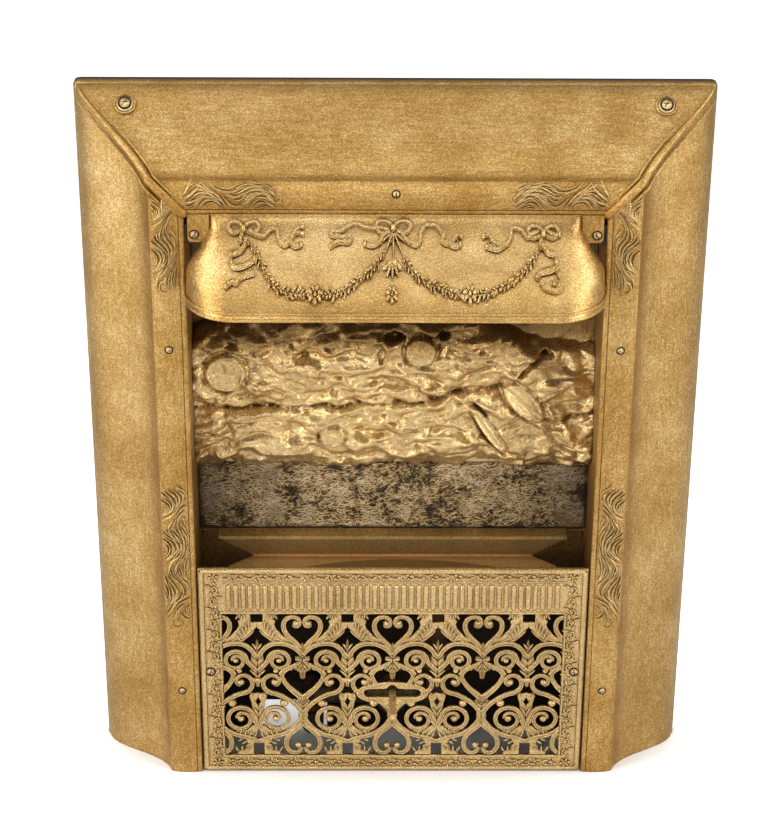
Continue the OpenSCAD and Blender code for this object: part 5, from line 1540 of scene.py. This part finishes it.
class HEARTH_OT_scrollwork(bpy.types.Operator):
    """Builds the openwork scrolls, with the lens shaped pad round the lever's slot"""
    bl_idname = "hearth.scrollwork"
    bl_label = "Scrollwork"

    def execute(self, context):
        s = sizes()
        pitch = s["scroll_pitch"]
        bars, outlines, veins = half_repeat(pitch / 2)
        place = upright(-83.3)
        halves = {}
        for cut in (False, True):
            bar_lines = channelled(clear_of_slot(bars) if cut else bars)
            vein_lines = clear_of_slot(veins) if cut else veins
            halves[cut] = joined("half_repeat", [
                strokes("bars", bar_lines, sides=2),
                plates("leaves", outlines, 3.4, 0.8,
                       lambda a, b, c: (a / MM, b / MM, (c - 0.7) / MM)),
                strokes("veins", [([(*p[:2], (*p, 0)[2] + 1.1) for p in points], radii)
                                  for points, radii in vein_lines], sides=1)])
        copies = []
        repeats = math.ceil(FIELD_X / pitch + 0.5)
        for k in range(-repeats, repeats + 1):
            for mirror in (1, -1):
                low, high = sorted((k * pitch, k * pitch + mirror * pitch / 2))
                if low > FIELD_X or high < -FIELD_X:
                    continue
                alone(halves[k == 0])
                bpy.ops.object.duplicate()
                copy = bpy.context.object
                copy.data.transform(Matrix.Diagonal((mirror, 1, 1, 1)))
                if mirror < 0:
                    copy.data.flip_normals()
                copy.data.transform(Matrix.Translation((k * pitch, 0, 0)))
                copies.append(copy)
        for spare in halves.values():
            alone(spare)
            bpy.ops.object.delete()
        field = joined("grille_scrolls", copies)
        alone(field)
        bpy.ops.object.mode_set(mode="EDIT")
        for side in (-1, 1):
            bpy.ops.mesh.select_all(action="SELECT")
            bpy.ops.mesh.bisect(plane_co=(side * FIELD_X, 0, 0), plane_no=(side, 0, 0),
                                use_fill=True, clear_outer=True)
        bpy.ops.object.mode_set(mode="OBJECT")
        laid(field, lambda a, b, c: place(a, b + FIELD_LOW, c))
        finished(field, "grille_gold", 50, "grille")

        lens = [(SLOT_HALF * 1.24 * math.cos(math.radians(15 * k)),
                 SLOT_Z + SLOT_TALL * 1.35 * math.sin(math.radians(15 * k)))
                for k in range(24)]
        pad = plates("slot_pad", [[lens, slot_outline(0)[::-1]]], 4.6, 0.8,
                     upright(-83.0))
        ring = slot_outline(1.6)
        edge = strokes("slot_edge", [bar(ring + ring[:1], 1.3), bar(lens + lens[:1], 1.3)],
                       upright(-84.9), sides=2, flat=0.8)
        piece = joined("lever_slot_pad", [pad, edge])
        finished(piece, "grille_gold", 50, "grille")
        return {"FINISHED"}


# ---------------------------------------------------------------- ironwork and stage

NODE_FINISHES = {
    "dark_iron": ("corner_brackets", "corner_nuts", "top_plate",
                  "shell_rivets", "hood_brackets", "fireback_bolts",
                  "tray_rivets", "burner_screws", "outlet_elbow", "outlet_nipple",
                  "supply_pipe", "supply_elbow", "pipe_clip", "clip_screws",
                  "grille_brackets", "bracket_rivets"),
    "cheek_iron": ("left_cheek", "right_cheek", "back_plate", "fibre_tray"),
    "rusty_iron": ("mixer_tube",),
    "belly_iron": ("burner_body",),
    "burner_gold": ("burner_top",),
    "lever_gold": ("lever", "corner_washers", "corner_screws", "moulding_screws",
                   "hood_screws", "grille_screws"),
    "old_brass": ("air_shutter", "gas_spud", "cock_plug", "plug_washer", "plug_nut",
                  "lever_screw"),
    "green_brass": ("cock_body",),
}


class HEARTH_OT_ironwork(bpy.types.Operator):
    """Gives the plates, screws, burner and gas fittings their finishes"""
    bl_idname = "hearth.ironwork"
    bl_label = "Ironwork"

    def execute(self, context):
        for coat, nodes in NODE_FINISHES.items():
            for node in nodes:
                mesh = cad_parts[node].data
                mesh.materials.clear()
                mesh.materials.append(finish(coat))
        return {"FINISHED"}


# The camera fitted to the photo: its place, its tilt, roll and pan in degrees, and its
# focal length, as a share of the picture's height.
CAMERA_AT = (-0.0281, -2.2114, 1.4794)
CAMERA_TURNS = (26.17, -0.41, -0.69)
CAMERA_FOCUS = 2338.7 / 829
SENSOR = 36


def lamp(name, place, aim, size, power, tint):
    """A soft box aimed at a point."""
    deselect()
    bpy.ops.object.light_add(type="AREA", location=place)
    light = bpy.context.object
    light.name = name
    light.data.shape = "RECTANGLE"
    light.data.size, light.data.size_y = size
    light.data.energy = power
    light.data.color = tint
    light.rotation_euler = (Vector(aim) - Vector(place)).to_track_quat("-Z", "Y").to_euler()


class HEARTH_OT_stage(bpy.types.Operator):
    """Sets the pale floor, the soft boxes, the white surroundings and the camera"""
    bl_idname = "hearth.stage"
    bl_label = "Stage"

    def execute(self, context):
        scene = context.scene
        deselect()
        bpy.ops.mesh.primitive_grid_add(x_subdivisions=4, y_subdivisions=4, size=1)
        floor = named("floor")
        floor.data.transform(Matrix.Diagonal((12, 12, 1, 1)))
        # matt seamless paper, brightened towards the camera so that it reads as white; ambient
        # occlusion dims that glow under and inside the insert, a painted shadow
        material, tree, place = started("seamless_paper_matt")
        tooth = clouds(tree, place, 400)
        paper = add(tree, "BsdfPrincipled", {
            "Base Color": scene.insert_colours.floor, "Roughness": 0.9,
            "Normal": bumped(tree, tooth, 0.05, 0.0002)})
        seen = add(tree, "LightPath").outputs["Is Camera Ray"]
        sky = add(tree, "AmbientOcclusion", {"Distance": 0.3}, samples=8).outputs["AO"]
        glow = weighed(tree, (seen, ranged(tree, sky, 0.45, 0.95, 0, 0.9)))
        light = add(tree, "Emission", {"Color": (1, 1, 1), "Strength": glow})
        both = add(tree, "AddShader", {0: paper.outputs["BSDF"],
                                       1: light.outputs["Emission"]})
        add(tree, "OutputMaterial", {"Surface": both.outputs["Shader"]})
        floor.data.materials.append(material)

        world = bpy.data.worlds.new("white_studio")
        scene.world = world
        world.use_nodes = True
        tree = world.node_tree
        tree.nodes.clear()
        path = add(tree, "LightPath").outputs
        clear = add(tree, "Math", {0: path["Is Camera Ray"], 1: path["Is Transmission Ray"]},
                    operation="MAXIMUM").outputs[0]
        glossy = weighed(tree, (path["Is Glossy Ray"], 0.35))
        clear = add(tree, "Math", {0: clear, 1: glossy}, operation="MAXIMUM").outputs[0]
        sky = add(tree, "Background", {"Color": (1, 1, 1),
                                       "Strength": ranged(tree, clear, 0, 1, 0.22, 1)})
        add(tree, "OutputWorld", {"Surface": sky.outputs["Background"]})

        middle, upper = (0, -0.05, 0.4), (0, -0.1, 0.6)
        warm, white = (1, 0.99, 0.97), (1, 1, 1)
        for name, place, aim, size, power, tint in (
                ("left_softbox", (-1.9, -1.15, 0.95), middle, (0.4, 1.2), 24, warm),
                ("right_softbox", (1.9, -1.15, 0.9), middle, (0.4, 1.2), 20, warm),
                ("left_high_softbox", (-1.4, -0.1, 1.95), upper, (0.28, 1.2), 14, white),
                ("right_high_softbox", (1.45, -0.05, 1.85), upper, (0.28, 1.2), 12, white),
                ("top_softbox", (0, -0.6, 2.3), upper, (1.5, 0.5), 4.5, white),
                ("front_softbox", (-0.4, -2.4, 1.0), middle, (1.2, 0.6), 11, white)):
            lamp(name, place, aim, size, power, tint)

        deselect()
        bpy.ops.object.camera_add()
        camera = bpy.context.object
        camera.name = "camera"
        tilt, roll, pan = (math.radians(a) for a in CAMERA_TURNS)
        look = Vector((-math.sin(pan) * math.cos(tilt), math.cos(pan) * math.cos(tilt),
                       -math.sin(tilt)))
        right = Vector((math.cos(pan), math.sin(pan), 0))
        down = look.cross(right)
        right, down = (math.cos(roll) * right + math.sin(roll) * down,
                       -math.sin(roll) * right + math.cos(roll) * down)
        turn = Matrix((right, -down, -look)).transposed()
        camera.matrix_world = Matrix.Translation(CAMERA_AT) @ turn.to_4x4()
        camera.data.sensor_width = SENSOR
        camera.data.lens = SENSOR * CAMERA_FOCUS
        scene.camera = camera
        scene.view_settings.view_transform = "Standard"
        return {"FINISHED"}


STEPS = (HEARTH_OT_stage, HEARTH_OT_surround, HEARTH_OT_mitre_beads,
         HEARTH_OT_moulding_leaves, HEARTH_OT_hood, HEARTH_OT_festoon,
         HEARTH_OT_screw_gaps, HEARTH_OT_logs, HEARTH_OT_fibre, HEARTH_OT_grille,
         HEARTH_OT_scrollwork, HEARTH_OT_ironwork)


class HEARTH_PT_panel(bpy.types.Panel):
    """Lists the steps that build the insert"""
    bl_idname = "HEARTH_PT_panel"
    bl_label = "Gas fireplace insert"
    bl_space_type = "VIEW_3D"
    bl_region_type = "UI"
    bl_category = "Hearth"

    def draw(self, context):
        for group in (context.scene.insert_sizes, context.scene.insert_colours):
            for key in group.__annotations__:
                self.layout.prop(group, key)
        for step in STEPS:
            self.layout.operator(step.bl_idname)


CLASSES = (InsertSizes, InsertColours, *STEPS, HEARTH_PT_panel)


def register():
    for item in CLASSES:
        bpy.utils.register_class(item)
    bpy.types.Scene.insert_sizes = bpy.props.PointerProperty(type=InsertSizes)
    bpy.types.Scene.insert_colours = bpy.props.PointerProperty(type=InsertColours)


def unregister():
    del bpy.types.Scene.insert_colours
    del bpy.types.Scene.insert_sizes
    for item in reversed(CLASSES):
        bpy.utils.unregister_class(item)


def main():
    """Builds everything in order."""
    register()
    for step in STEPS:
        group, name = step.bl_idname.split(".")
        getattr(getattr(bpy.ops, group), name)()


if __name__ == "__main__":
    main()
